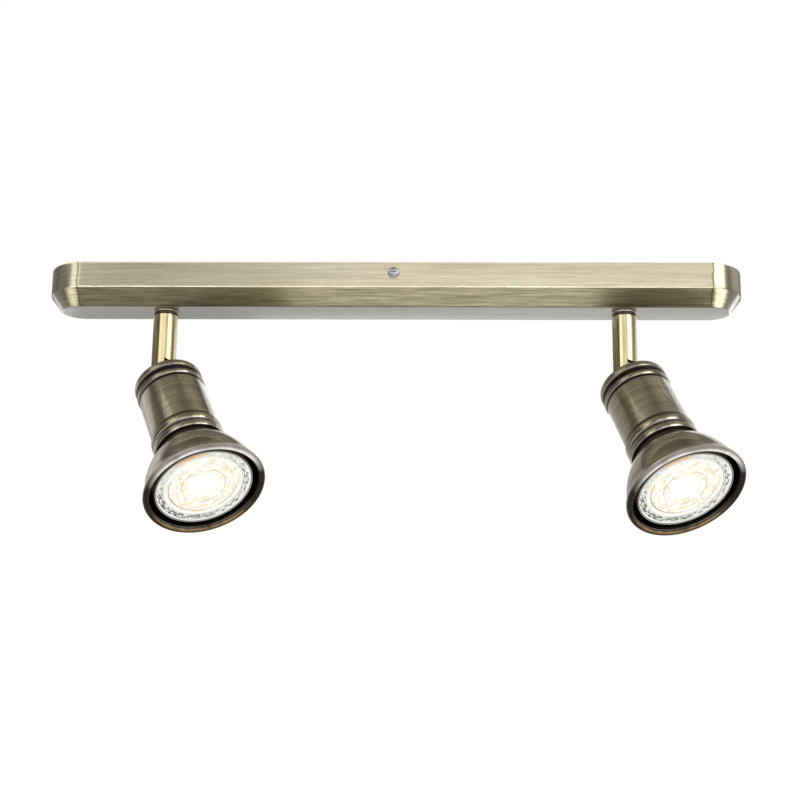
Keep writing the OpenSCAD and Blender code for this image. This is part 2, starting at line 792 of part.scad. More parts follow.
module bell_shade(side) {
  outer = bell_outer();
  inner = moved_in(outer, bell_wall);
  lip = arc([lip_mid_r, face_z - lip_drop], lip_r, 40, -220, lip_steps);
  spigot = [
    [spigot_r - bell_wall, neck_z], [spigot_r - bell_wall, neck_z + spigot_length],
    [spigot_r, neck_z + spigot_length], [spigot_r, neck_z]
  ];
  rim_z = face_z + lip_r;
  inside = [for (p = inner) if (p[1] < neck_z - bell_neck_pull / 2 && p[1] > rim_z) p];
  color([0.45, 0.4, 0.3]) at_head(side) rotate_extrude()
    polygon(concat([for (p = outer) if (p[1] > rim_z) p], lip, reversed(inside), spigot));
}

module holder_bracket(side) {
  w = 2 * holder_bracket_half;
  tab = bracket_leg_y - holder_screw_y + 3;
  color([0.74, 0.75, 0.76]) at_head(side) difference() {
    union() {
      translate([-holder_bracket_half, -bracket_leg_y, rear_inner - holder_bracket_t])
        cube([w, 2 * bracket_leg_y, holder_bracket_t]);
      for (s = [0, 1]) rotate([0, 0, 180 * s]) {
        translate([-holder_bracket_half, bracket_leg_y - holder_bracket_t, holder_rear])
          cube([w, holder_bracket_t, rear_inner - holder_rear]);
        translate([-holder_bracket_half, bracket_leg_y - tab, holder_rear])
          cube([w, tab, holder_bracket_t]);
      }
    }
    translate([0, 0, rear_inner - 2 * holder_bracket_t])
      cylinder(r = stud_r + fit, h = 3 * holder_bracket_t);
    for (s = [-1, 1]) translate([0, s * holder_screw_y, holder_rear - cut])
      cylinder(r = holder_screw_r + fit, h = holder_bracket_t + 2 * cut);
  }
}

module holder_screws(side) {
  head_z = holder_face + holder_sink;
  color([0.75, 0.76, 0.78]) at_head(side)
    for (s = [-1, 1]) translate([0, s * holder_screw_y, head_z]) {
      mirror([0, 0, 1]) pan_head(holder_head_r, 2);
      cylinder(r = holder_screw_r, h = holder_rear + holder_bracket_t + 1.5 - head_z);
    }
}

// An arc slot about the axis with round ends, from the locked to the open position
module arc_slot(half, z, h) {
  r = pin_spacing / 2;
  open = r * [cos(lock_turn), -sin(lock_turn)];
  inner = arc([0, 0], r - half, 0, -lock_turn, 6);
  outer = arc([0, 0], r + half, -lock_turn, 0, 6);
  translate([0, 0, z]) linear_extrude(h) polygon(concat(
    arc([r, 0], half, 0, 180, 12),
    [for (i = [1 : 5]) inner[i]],
    arc(open, half, 180 - lock_turn, 360 - lock_turn, 12),
    [for (i = [1 : 5]) outer[i]]
  ));
}

module lampholder(side) {
  cavity_h = cavity_top - holder_face - plate_t;
  color([0.93, 0.92, 0.88]) at_head(side) difference() {
    translate([0, 0, holder_face]) cylinder(r = holder_r, h = holder_h);
    for (a = [0, 180]) rotate([0, 0, a]) {
      arc_slot(pin_r + pin_gap, holder_face - cut, plate_t + 2 * cut);
      arc_slot(pin_head_r + seat, holder_face + plate_t, cavity_h);
      rotate([0, 0, -lock_turn]) translate([pin_spacing / 2, 0, holder_face - cut])
        cylinder(r = pin_head_r + 0.6 * pin_gap, h = plate_t + 2 * cut);
      translate([pin_spacing / 2, 0, holder_face + plate_t + cut])
        cylinder(r = contact_hole_r, h = holder_h);
    }
    for (s = [-1, 1]) translate([0, s * holder_screw_y, holder_face - cut]) {
      cylinder(r = holder_screw_r + 3 * fit, h = holder_h + 2 * cut);
      cylinder(r = holder_head_r + 0.25, h = holder_sink + cut);
    }
  }
}

module holder_contacts(side) {
  color([0.8, 0.6, 0.35]) at_head(side) for (a = [0, 180]) rotate([0, 0, a])
    translate([pin_spacing / 2 - 2, -1.5, cavity_top - contact_t]) cube([4, 3, contact_t]);
}

module head_leads(side) {
  start = [sleeve_hole[0], sleeve_hole[1] - 0.2, rear_inner - 2.8];
  hole_x = pin_spacing / 2;
  color([0.5, 0.3, 0.15]) at_head(side) {
    wire(spline([
      start + [0.7, 0, 0],
      start + [0.8, -1.5, -3],
      [hole_x + 1.5, 2, holder_rear + 4.5],
      [hole_x, 0, holder_rear + 1.5],
      [hole_x, 0, holder_rear - 2.5]
    ], 3), lead_r);
    wire(spline([
      start + [-0.7, 0, 0],
      start + [-1.2, 0.6, -3],
      [1.5, 6, holder_rear + 5],
      [-hole_x + 0.6, 3, holder_rear + 3.6],
      [-hole_x, 0, holder_rear + 1.5],
      [-hole_x, 0, holder_rear - 2.5]
    ], 3), lead_r);
  }
}

// Outline of the lamp's body behind its front rim
function lamp_outer() = curve([lamp_r, face_z + lamp_rim], [lamp_r - body_pull_r, face_z + body_pull_z],
  [base_top_r + waist_pull_r, base_top_z - waist_pull_z], [base_top_r, base_top_z], curve_steps);

module lamp_shell(side) {
  inner = [for (p = moved_in(lamp_outer(), -lamp_wall)) if (p[1] < lamp_floor - cut / 2) p];
  board_edge = inner[len(inner) - 1][0];
  color([0.85, 0.86, 0.86]) at_head(side) rotate_extrude() polygon(concat(
    [[lamp_r, face_z]], lamp_outer(),
    [[base_end_r, base_z - base_h], [base_end_r, base_z], [0, base_z], [0, lamp_floor],
      [board_edge, lamp_floor]],
    reversed(inner),
    [[lamp_r - 2 * lamp_wall, lens_seat], [lamp_r - lamp_wall, lens_seat], [lamp_r - lamp_wall, face_z]]
  ));
}

module lamp_lens(side) {
  r = lamp_r - lamp_wall - fit;
  color([0.9, 0.92, 0.92, 0.6]) at_head(side) rotate_extrude() polygon([
    [0, lens_front], [lens_dish_r, lens_front + seat],
    [lens_dish_r + lens_ridge_w, lens_front - lens_ridge_h],
    [r - lens_edge_w - lens_ridge_h + slide, lens_front - lens_ridge_h - slide],
    [r - lens_edge_w, lens_front - slide], [r, lens_front - seat], [r, lens_seat],
    [cone_r, lens_seat], [cone_r - cone_step_r, lens_seat + cone_step_h],
    [cone_end_r, lens_rear - cone_tip_h], [0, lens_rear]
  ]);
}

module lamp_board(side) {
  color([0.95, 0.94, 0.85]) at_head(side) {
    translate([0, 0, lamp_floor - board_t]) cylinder(r = board_r, h = board_t);
    translate([0, 0, lamp_floor - board_t - chip_t]) cylinder(r = chip_r, h = chip_t);
  }
}

module lamp_pins(side) {
  neck = plate_t + pin_play;
  color([0.78, 0.79, 0.8]) at_head(side) for (s = [-1, 1])
    translate([s * pin_spacing / 2, 0, base_z]) {
      cylinder(r = pin_r, h = neck);
      translate([0, 0, neck]) cylinder(r = pin_head_r, h = pin_length - neck);
    }
}

bar_cover();
mounting_bracket();
cover_screws();
terminal_block();
terminal_screws();
block_screw();
earth_screw();
earth_lead();
bar_leads(LEFT);  // bar_leads_left
bar_leads(RIGHT);  // bar_leads_right
swivel_collar(LEFT);  // swivel_collar_left
swivel_collar(RIGHT);  // swivel_collar_right
friction_ring(LEFT);  // friction_ring_left
friction_ring(RIGHT);  // friction_ring_right
swivel_nipple(LEFT);  // swivel_nipple_left
swivel_nipple(RIGHT);  // swivel_nipple_right
stop_washer(LEFT);  // stop_washer_left
stop_washer(RIGHT);  // stop_washer_right
swivel_nut(LEFT);  // swivel_nut_left
swivel_nut(RIGHT);  // swivel_nut_right
arm_tube(LEFT);  // arm_tube_left
arm_tube(RIGHT);  // arm_tube_right
arm_fork(LEFT);  // arm_fork_left
arm_fork(RIGHT);  // arm_fork_right
tilt_screw(LEFT);  // tilt_screw_left
tilt_screw(RIGHT);  // tilt_screw_right
tilt_nut(LEFT);  // tilt_nut_left
tilt_nut(RIGHT);  // tilt_nut_right
arm_leads(LEFT);  // arm_leads_left
arm_leads(RIGHT);  // arm_leads_right
lead_sleeve(LEFT);  // lead_sleeve_left
lead_sleeve(RIGHT);  // lead_sleeve_right
tilt_tongue(LEFT);  // tilt_tongue_left
tilt_tongue(RIGHT);  // tilt_tongue_right
tongue_nut(LEFT);  // tongue_nut_left
tongue_nut(RIGHT);  // tongue_nut_right
head_barrel(LEFT);  // head_barrel_left
head_barrel(RIGHT);  // head_barrel_right
bell_shade(LEFT);  // bell_shade_left
bell_shade(RIGHT);  // bell_shade_right
holder_bracket(LEFT);  // holder_bracket_left
holder_bracket(RIGHT);  // holder_bracket_right
holder_screws(LEFT);  // holder_screws_left
holder_screws(RIGHT);  // holder_screws_right
lampholder(LEFT);  // lampholder_left
lampholder(RIGHT);  // lampholder_right
holder_contacts(LEFT);  // holder_contacts_left
holder_contacts(RIGHT);  // holder_contacts_right
head_leads(LEFT);  // head_leads_left
head_leads(RIGHT);  // head_leads_right
lamp_shell(LEFT);  // lamp_shell_left
lamp_shell(RIGHT);  // lamp_shell_right
lamp_lens(LEFT);  // lamp_lens_left
lamp_lens(RIGHT);  // lamp_lens_right
lamp_board(LEFT);  // lamp_board_left
lamp_board(RIGHT);  // lamp_board_right
lamp_pins(LEFT);  // lamp_pins_left
lamp_pins(RIGHT);  // lamp_pins_right
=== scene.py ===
# %% [markdown]
# A two-lamp spotlight bar in antique brass
#
# The real thing is a long, shallow sheet-metal cover that hangs open side up below a mounting bracket.
# Two short arms come out of it, and each arm carries a turned, lacquered head with a two-pin lamp in it.
# The construction comes packed as a frame: every part at its real size, in metres. This script keeps the
# frame where it is and gives each part the shape and the finish that the eye expects.

import json
import math

import bmesh
import bpy
from mathutils import Matrix, Vector
from mathutils.geometry import interpolate_bezier

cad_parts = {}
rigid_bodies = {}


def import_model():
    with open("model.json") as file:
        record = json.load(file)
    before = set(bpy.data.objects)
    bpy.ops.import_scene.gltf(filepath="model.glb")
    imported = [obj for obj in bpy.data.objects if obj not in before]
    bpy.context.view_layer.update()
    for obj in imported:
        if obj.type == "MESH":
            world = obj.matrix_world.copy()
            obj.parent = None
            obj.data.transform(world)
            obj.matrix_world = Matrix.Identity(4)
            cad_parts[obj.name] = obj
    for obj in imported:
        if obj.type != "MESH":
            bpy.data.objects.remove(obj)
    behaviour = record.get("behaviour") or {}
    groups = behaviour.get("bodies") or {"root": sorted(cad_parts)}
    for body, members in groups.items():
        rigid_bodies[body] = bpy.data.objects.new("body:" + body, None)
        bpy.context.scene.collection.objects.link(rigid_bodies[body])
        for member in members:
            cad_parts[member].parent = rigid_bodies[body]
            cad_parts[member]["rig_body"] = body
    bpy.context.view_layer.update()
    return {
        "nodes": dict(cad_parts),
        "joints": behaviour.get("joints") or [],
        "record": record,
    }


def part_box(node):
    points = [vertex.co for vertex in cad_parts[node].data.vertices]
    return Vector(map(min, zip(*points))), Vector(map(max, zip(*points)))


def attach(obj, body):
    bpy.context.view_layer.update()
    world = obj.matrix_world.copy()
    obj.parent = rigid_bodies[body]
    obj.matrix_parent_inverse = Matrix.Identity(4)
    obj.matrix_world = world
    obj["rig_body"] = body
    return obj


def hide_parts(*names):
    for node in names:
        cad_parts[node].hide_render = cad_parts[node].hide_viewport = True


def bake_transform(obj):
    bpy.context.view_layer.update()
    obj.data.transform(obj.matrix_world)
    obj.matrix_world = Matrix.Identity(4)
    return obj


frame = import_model()
joints = {j["name"]: j for j in frame["joints"]}
slots = {s["node"]: s["material_slot"] for s in frame["record"]["subparts"]}
MM = 0.001
SIDES = ("left", "right")

# %% [markdown]
# The two heads are turned and tilted differently, but they are the same product. So every turned part is
# drawn once about its own axis, and a matrix puts it in place. The matrices come from the joints: the tilt
# joint gives the sideways axis of a head, and the lamp's own turning axis gives its aim.

# %% Places of the arms and the heads
UP = Vector((0, 0, 1))


def placed(origin, sideways, upward):
    turn = Matrix((sideways, upward.cross(sideways), upward)).transposed()
    return Matrix.Translation(origin) @ turn.to_4x4()


def arm_place(side):
    tilt = joints["tilt_" + side]
    return placed((tilt["pos_m"][0], 0, 0), -Vector(tilt["axis"]), UP)


def head_place(side):
    tilt = joints["tilt_" + side]
    aim = Vector(joints["lamp_twist_" + side]["axis"])
    return placed(tilt["pos_m"], -Vector(tilt["axis"]), -aim)


pivot_z = joints["tilt_left"]["pos_m"][2] / MM
face_level = -85.45
print(f"tilt axis {pivot_z:.1f} mm below the mounting face")

# %% [markdown]
# The camera stands a metre in front of the bar and below it, looking up. Its focal length is that of the
# photograph: 2000 pixels for a picture 800 pixels wide, which is a 90 mm lens on a 36 mm sensor.

# %% Camera
FRAME_PIXELS = 800
FOCAL_PIXELS = 2000
SENSOR_WIDTH = 36
camera_spot = Vector((36.8, -982.5, -387.2)) * MM
camera_yaw = math.radians(1.936)
camera_pitch = math.radians(17.903)
camera_roll = math.radians(0.802)

camera_data = bpy.data.cameras.new("camera")
camera_data.sensor_width = SENSOR_WIDTH
camera_data.lens = SENSOR_WIDTH * FOCAL_PIXELS / FRAME_PIXELS
camera_data.clip_start = 0.01
camera = bpy.data.objects.new("camera", camera_data)
level_forward = Matrix.Rotation(math.pi / 2, 4, "X")
camera.matrix_world = (
    Matrix.Translation(camera_spot)
    @ Matrix.Rotation(camera_yaw, 4, "Z")
    @ Matrix.Rotation(camera_pitch, 4, "X")
    @ level_forward
    @ Matrix.Rotation(camera_roll, 4, "Z")
)
bpy.context.scene.collection.objects.link(camera)
bpy.context.scene.camera = camera
bpy.context.scene.view_settings.view_transform = "Standard"
print(f"camera with a {camera_data.lens:.0f} mm lens")

# %% [markdown]
# A finish is a small graph of shader nodes. Each tool here adds one node, or one step that many finishes
# need, so that a finish reads like the layers on the real thing. The world is built with the same tools.

# %% Small tools for materials


def set_values(mat, **sockets):
    shader = mat.node_tree.nodes["Principled BSDF"]
    for label, value in sockets.items():
        shader.inputs[label.replace("_", " ")].default_value = value


def new_material(name, **sockets):
    mat = bpy.data.materials.new(name)
    mat.use_nodes = True
    set_values(mat, **sockets)
    return mat


def add(mat, kind, inputs=None, **settings):
    """A new node. A socket among its inputs is linked, a number or a colour is set."""
    node = mat.node_tree.nodes.new(kind)
    for key, value in settings.items():
        setattr(node, key, value)
    for label, value in (inputs or {}).items():
        if isinstance(value, bpy.types.NodeSocket):
            mat.node_tree.links.new(value, node.inputs[label])
        else:
            node.inputs[label].default_value = value
    return node


def plug(mat, output, label):
    mat.node_tree.links.new(output, mat.node_tree.nodes["Principled BSDF"].inputs[label])


def calc(mat, operation, *values):
    return add(mat, "ShaderNodeMath", dict(enumerate(values)), operation=operation).outputs[0]


def product(mat, a, b):
    return calc(mat, "MULTIPLY", a, b)


def xyz(mat, where):
    return add(mat, "ShaderNodeSeparateXYZ", {"Vector": where}).outputs


def noise(mat, where, marks, detail=3.0):
    """Noise with so many marks to a metre along each axis."""
    place = add(mat, "ShaderNodeMapping", {"Vector": where, "Scale": marks})
    inputs = {"Vector": place.outputs[0], "Scale": 1.0, "Detail": detail, "Roughness": 0.6}
    return add(mat, "ShaderNodeTexNoise", inputs).outputs[0]


def ramp(mat, factor, *stops):
    """A colour ramp from pairs of a place and a colour."""
    node = add(mat, "ShaderNodeValToRGB", {"Fac": factor})
    points = node.color_ramp.elements
    while len(points) < len(stops):
        points.new(0.5)
    for point, (place, colour) in zip(points, stops):
        point.position = place
        point.color = (*colour, 1)
    return node.outputs[0]


def grey(level):
    return (level, level, level)


def two_tones(mat, factor, dark, light):
    return ramp(mat, factor, (0.3, dark), (0.7, light))


def belt(mat, share, low, high, soft=0.01):
    return ramp(mat, share, (low - soft, grey(0)), (low, grey(1)), (high, grey(1)), (high + soft, grey(0)))


def spread(mat, value, low, high, new_low=0.0, new_high=1.0):
    inputs = {"Value": value, "From Min": low, "From Max": high, "To Min": new_low, "To Max": new_high}
    return add(mat, "ShaderNodeMapRange", inputs).outputs[0]


def mark(mat, under, colour, amount, blend="MIX"):
    """Lays one colour over another by an amount."""
    inputs = {0: amount, 6: under, 7: colour}
    return add(mat, "ShaderNodeMix", inputs, data_type="RGBA", blend_type=blend).outputs[2]


def times(mat, colour, other):
    return mark(mat, colour, other, 1.0, "MULTIPLY")


def roughened(mat, value, rough, smooth):
    plug(mat, spread(mat, value, 0.3, 0.7, rough, smooth), "Roughness")


def dented(mat, height, depth, strength):
    bump = add(mat, "ShaderNodeBump", {"Height": height, "Distance": depth, "Strength": strength})
    plug(mat, bump.outputs[0], "Normal")


def object_place(mat):
    return add(mat, "ShaderNodeTexCoord").outputs["Object"]


def around(mat, where, radius):
    """Coordinates without a seam: the way from the axis at length one, lifted by the radius."""
    parts = xyz(mat, where)
    x, y = [calc(mat, "DIVIDE", parts[axis], radius) for axis in "XY"]
    return add(mat, "ShaderNodeCombineXYZ", {"X": x, "Y": y, "Z": radius}).outputs[0]


def towards(mat, spread_out, degrees, low, high):
    """One on the side of the lamp at an angle, and nothing on the other side."""
    aim = (math.cos(math.radians(degrees)), math.sin(math.radians(degrees)), 0)
    dot = add(mat, "ShaderNodeVectorMath", {0: spread_out, 1: aim}, operation="DOT_PRODUCT").outputs["Value"]
    return spread(mat, dot, low, high)


# %% [markdown]
# Polished metal shows its surroundings more than its own colour, so the studio counts as much as the
# finish. The world is that studio. To the camera it is plain white. To a reflection it is a room of soft
# greys, which has a pale strip behind the camera and dimmer walls beside it. As a light it is soft and
# even. Each table below gives the tone of the room's wall by the direction, in degrees to the right of
# the camera's side: the first for the lower part of the room, the second for the part near the ceiling.

# %% World
WORLD_LIGHT = 0.45
ROOM_LOW = (
    (-180, 0.50), (-165, 0.25), (-109, 0.20), (-106.5, 0.14), (-86, 0.28), (-75, 0.28), (-71, 0.12),
    (-56, 0.12), (-53, 0.30), (-24, 0.30), (-10, 0.36), (-7, 0.80), (-5, 1.25), (-2, 1.35), (1.5, 1.05),
    (5, 1.20), (8, 1.30), (20, 0.9), (50, 0.6), (63, 0.40), (68, 0.18), (84, 0.18), (92, 0.50),
    (125, 0.50), (138, 0.25), (165, 0.30), (180, 0.50),
)
ROOM_HIGH = (
    (-180, 0.15), (-112, 0.15), (-100, 0.30), (-75, 0.35), (-60, 0.55), (-40, 0.55), (-20, 0.28),
    (70, 0.30), (90, 0.50), (130, 0.50), (145, 0.20), (180, 0.15),
)
HIGH_LOW_EDGE = (0.63, 0.68)


def room_tones(world, share, stops):
    return ramp(world, share, *[(angle / 360 + 0.5, grey(tone)) for angle, tone in stops])


def build_world(world):
    world.use_nodes = True
    world.node_tree.nodes.clear()
    way = xyz(world, add(world, "ShaderNodeTexCoord").outputs["Generated"])
    turn = calc(world, "ARCTAN2", way["X"], product(world, way["Y"], -1.0))
    share = calc(world, "MULTIPLY_ADD", turn, 0.5 / math.pi, 0.5)
    high = spread(world, way["Z"], *HIGH_LOW_EDGE)
    room = mark(world, room_tones(world, share, ROOM_LOW), room_tones(world, share, ROOM_HIGH), high)
    white = (1, 1, 1, 1)
    path = add(world, "ShaderNodeLightPath").outputs
    direct = calc(world, "MAXIMUM", path["Is Camera Ray"], path["Is Transmission Ray"])
    shown = add(world, "ShaderNodeBackground", {"Color": white, "Strength": WORLD_LIGHT}).outputs[0]
    for kind_of_ray, colour in ((path["Is Glossy Ray"], room), (direct, white)):
        plain = add(world, "ShaderNodeBackground", {"Color": colour, "Strength": 1.0}).outputs[0]
        shown = add(world, "ShaderNodeMixShader", {0: kind_of_ray, 1: shown, 2: plain}).outputs[0]
    add(world, "ShaderNodeOutputWorld", {"Surface": shown})


studio = bpy.data.worlds.new("studio")
bpy.context.scene.world = studio
build_world(studio)
print(f"a room with {len(ROOM_LOW)} tones below and {len(ROOM_HIGH)} above")

# %% [markdown]
# Soft boxes give the metal its bright bands. Two large ones stand in front, one on each side: they draw a
# band on each round end of the cover and down each head. The small ones each draw one line or one pale
# edge. Many of them light a single part, which is set at the end, when the parts are there. The table
# holds the degrees to the right of the camera's side and above level, then the distance, the width and the
# height in metres, and the brightness.

# %% Soft boxes
scene_objects = bpy.context.scene.collection.objects
target = Vector((0, 0, -0.06))


def soft_box(name, sideways, upward, distance, width, height, brightness):
    """A light at so many degrees to the right of the camera's side and above level."""
    a, e = math.radians(sideways), math.radians(upward)
    spot = target + distance * Vector((math.sin(a) * math.cos(e), -math.cos(a) * math.cos(e), math.sin(e)))
    lamp = bpy.data.lights.new(name, "AREA")
    lamp.shape = "RECTANGLE"
    lamp.size = width
    lamp.size_y = height
    lamp.energy = brightness * math.pi * width * height
    box = bpy.data.objects.new(name, lamp)
    box.matrix_world = Matrix.Translation(spot) @ (spot - target).to_track_quat("Z", "Y").to_matrix().to_4x4()
    box.visible_camera = False
    scene_objects.link(box)
    return box


SOFT_BOXES = {
    "left": (-36, 22, 1.5, 0.68, 0.9, 1.45),
    "right": (46, 22, 1.5, 0.83, 0.9, 2.3),
    "low": (0, -22, 0.9, 2.2, 0.25, 4.5),
    "high_left": (-70, 40, 1.6, 0.45, 0.5, 0.9),
    "over": (180, 84, 1.2, 2.6, 2.2, 1.3),
    "low_left": (-138, -8, 0.9, 0.6, 0.42, 0.8),
    "low_right": (134, -10, 0.9, 0.6, 0.42, 1.3),
    "back_left": (-143, 14, 1.2, 1.7, 1.07, 0.35),
    "back_right": (148, 18, 1.5, 1.9, 1.33, 0.7),
    "side": (-122, 15, 1.2, 0.55, 0.7, 0.5),
    "spark_left": (62, 29, 1.5, 0.4, 0.55, 4.0),
    "spark_right": (46, 14, 1.5, 0.3, 0.6, 4.0),
    "back": (180, -11, 1.2, 1.8, 0.3, 0.60),
    "flat": (166, -11, 1.2, 1.02, 0.3, 0.65),
    "foot_left": (-77, -41, 0.555, 0.18, 0.20, 4.0),
    "foot_right": (77, -40, 0.562, 0.22, 0.22, 7.5),
    "under": (10, -68, 0.41, 0.37, 0.16, 1.6),
    "arms": (-13, 20, 1.5, 0.5, 0.5, 0.7),
    "arm_edge": (70, 20, 1.5, 0.4, 0.5, 0.8),
}
soft_boxes = {name: soft_box("soft_box_" + name, *numbers) for name, numbers in SOFT_BOXES.items()}
print(f"{len(soft_boxes)} soft boxes")

# %% [markdown]
# The floor is a plain pale sheet under the object, and it takes its shadow.

# %% Floor
FLOOR_WIDTH = 6
FLOOR_LEVEL = -0.5


def as_object(bm, name):
    mesh = bpy.data.meshes.new(name)
    bm.to_mesh(mesh)
    bm.free()
    obj = bpy.data.objects.new(name, mesh)
    scene_objects.link(obj)
    return obj


def paper():
    mat = new_material("floor_paper", Roughness=0.8)
    cloud = noise(mat, object_place(mat), (3, 3, 3))
    plug(mat, two_tones(mat, cloud, grey(0.78), grey(0.82)), "Base Color")
    return mat


def plain_sheet():
    bm = bmesh.new()
    level = Matrix.Translation((0, 0, FLOOR_LEVEL))
    bmesh.ops.create_grid(bm, x_segments=1, y_segments=1, size=FLOOR_WIDTH / 2, matrix=level)
    return bm


floor = as_object(plain_sheet(), "floor")
floor.data.materials.append(paper())
print("the floor lies")

# %% [markdown]
# The cover is plated antique brass, brushed along its length and sealed under clear lacquer. Three things
# make that look: fine streaks in the colour, a highlight that is drawn out across the streaks, and a
# second, sharp highlight from the lacquer. The streaks follow the sheet round its ends, so they are drawn
# on a map that runs along the sheet and not on plain object coordinates. Light and shade are painted into
# the colour as well: the slope is painted darker as shade, a thin line of painted shade marks where each
# round end begins, the slope takes a painted pale reflection towards the ends, and the flat face is
# painted a lighter, greyer tone as light.

# %% Brushed brass of the cover
GRAIN = "grain"
END_LINE_SPOTS = (-0.1634, 0.1658)
SIDE_ROW = 0.3
SLOPE_ROW = 0.3141
FLAT_ROW = 0.1
BETWEEN_ROWS = (0.20, 0.19)
TIP_REFLECTION_REACH = (0.174, 0.182)


def along_grain(mat):
    return add(mat, "ShaderNodeUVMap", uv_map=GRAIN).outputs[0]


def drawn_out(mat, amount):
    tangent = add(mat, "ShaderNodeTangent", direction_type="UV_MAP", uv_map=GRAIN)
    plug(mat, tangent.outputs[0], "Tangent")
    set_values(mat, Anisotropic=amount, Anisotropic_Rotation=0.25)


def painted_end_line(mat, along):
    """A thin dark line of painted shade where the pressed round end begins."""
    wave = noise(mat, along_grain(mat), (30, 160, 1), 2)
    shaken = calc(mat, "MULTIPLY_ADD", wave, 0.0024, along)
    gaps = [calc(mat, "ABSOLUTE", calc(mat, "SUBTRACT", shaken, spot)) for spot in END_LINE_SPOTS]
    gap = spread(mat, calc(mat, "MINIMUM", *gaps), 0.0, 0.0008)
    return ramp(mat, gap, (0.15, (0.42, 0.38, 0.28)), (1.0, grey(1)))


def cover_brass():
    mat = new_material("cover_brass", Metallic=1.0, Coat_Weight=0.5, Coat_Roughness=0.12, Coat_IOR=1.5)
    where = along_grain(mat)
    fine = noise(mat, where, (60, 2400, 1), 3)
    broad = noise(mat, where, (16, 700, 1), 4)
    scratch = noise(mat, where, (40, 1600, 1), 4)
    cloud = noise(mat, where, (9, 60, 1), 2)
    parts = xyz(mat, where)
    reach, row = calc(mat, "ABSOLUTE", parts["X"]), calc(mat, "ABSOLUTE", parts["Y"])
    on_slope = spread(mat, row, SLOPE_ROW, SLOPE_ROW + 0.0003)
    on_flat = spread(mat, row, *BETWEEN_ROWS)
    tip_reflection = product(mat, on_slope, spread(mat, reach, *TIP_REFLECTION_REACH, 0.0, 0.85))
    tone = two_tones(mat, cloud, (0.58, 0.52, 0.37), (0.70, 0.64, 0.48))
    slope_streaks_and_shade = ramp(mat, scratch, (0.38, (0.32, 0.312, 0.242)), (0.62, (0.56, 0.552, 0.45)))
    streak = ramp(mat, fine, (0.32, (0.80, 0.79, 0.77)), (0.6, grey(1)))
    band = ramp(mat, broad, (0.34, (0.80, 0.79, 0.77)), (0.58, grey(1)))
    # On the slope the colour is painted darker: painted shade, broken by streaks of the grain.
    finish = mark(mat, tone, times(mat, tone, slope_streaks_and_shade), on_slope)
    for layer in (streak, band, painted_end_line(mat, parts["X"])):
        finish = times(mat, finish, layer)
    # Towards each round end the slope turns pale grey: a painted reflection.
    finish = mark(mat, finish, (0.62, 0.58, 0.50, 1), tip_reflection)
    # The flat face is painted a lighter, greyer tone: painted light.
    finish = mark(mat, finish, two_tones(mat, cloud, (0.60, 0.585, 0.54), (0.66, 0.645, 0.60)), on_flat)
    plug(mat, finish, "Base Color")
    roughened(mat, fine, 0.34, 0.24)
    drawn_out(mat, 0.8)
    dented(mat, fine, 0.00002, 0.5)
    return mat


# %% [markdown]
# The arms are drawn tube with a brighter, more golden plating. The marks of drawing run along the tube.

# %% Golden brass of the arms


def arm_brass():
    mat = new_material("arm_brass", Metallic=1.0, Coat_Weight=0.4, Coat_Roughness=0.08, Coat_IOR=1.5)
    where = object_place(mat)
    fine = noise(mat, where, (2500, 2500, 60), 3)
    cloud = noise(mat, where, (90, 90, 30), 2)
    streak = ramp(mat, fine, (0.3, (0.80, 0.79, 0.74)), (0.6, grey(1)))
    tone = two_tones(mat, cloud, (0.58, 0.49, 0.27), (0.72, 0.62, 0.38))
    plug(mat, times(mat, tone, streak), "Base Color")
    roughened(mat, fine, 0.20, 0.12)
    dented(mat, fine, 0.00001, 0.3)
    return mat


# %% [markdown]
# The heads are darker. Their brass is smoked, brushed in the lathe and covered with a thick glossy
# lacquer. The brush leaves rings round the axis. The grooves and the backs of the beads are painted dark,
# partly for smoke that stays in them and partly as painted shade. The inside of the bell and the front of
# the rolled lip are painted dark as shade, thin painted highlights run round the beads, and the lamp's
# light on the lip is painted in as a glow. Each turned piece carries its own coordinates about its axis,
# in an attribute, so both heads share one material.

# %% Smoked brass of the heads, with painted shade and painted highlights
TURNED = "turned_place"
SHADED_INSIDE = "inside"
BELT_TOP = 80
# Dark belts, in millimetres above the face of the lamp: partly smoke that stays in the grooves, partly painted shade in
# the grooves and on the backs of the beads.
SMOKE_AND_SHADE = (
    (0, 0), (24.6, 0), (25.1, 1), (26.3, 1), (26.5, 0), (28.5, 0), (30.0, 1), (31.4, 1), (31.55, 0),
    (34.2, 0), (35.2, 0.9), (37.0, 0.95), (37.6, 0), (62.9, 0), (64.1, 1), (65.35, 1), (65.5, 0), (66.8, 0),
    (68.0, 1), (71.2, 1), (71.35, 0), (73.5, 0), (74.4, 0.9), (80, 1),
)
# Pale belts: painted highlights, thin lines round the lower edge of each bead and of the crown.
PAINTED_HIGHLIGHTS = (
    (0, 0), (26.5, 0), (26.6, 0.9), (26.8, 0.9), (27.1, 0), (31.5, 0), (31.6, 0.9), (31.8, 0.9), (32.2, 0),
    (65.4, 0), (65.5, 0.9), (65.65, 0.9), (65.95, 0), (71.3, 0), (71.4, 0.8), (71.55, 0.8), (71.8, 0), (80, 0),
)
lip_middle = 29.4
lip_level = face_level - 0.5


def about_axis(mat):
    return add(mat, "ShaderNodeAttribute", attribute_name=TURNED).outputs["Vector"]


def radius_of(mat, where):
    flat = add(mat, "ShaderNodeVectorMath", {0: where, 1: (1, 1, 0)}, operation="MULTIPLY")
    return add(mat, "ShaderNodeVectorMath", {0: flat.outputs[0]}, operation="LENGTH").outputs["Value"]


def down_the_profile(mat, where):
    """The same place, with its height swapped for the way down the turned profile."""
    parts = xyz(mat, where)
    way = calc(mat, "SUBTRACT", radius_of(mat, where), parts["Z"])
    return add(mat, "ShaderNodeCombineXYZ", {"X": parts["X"], "Y": parts["Y"], "Z": way}).outputs[0]


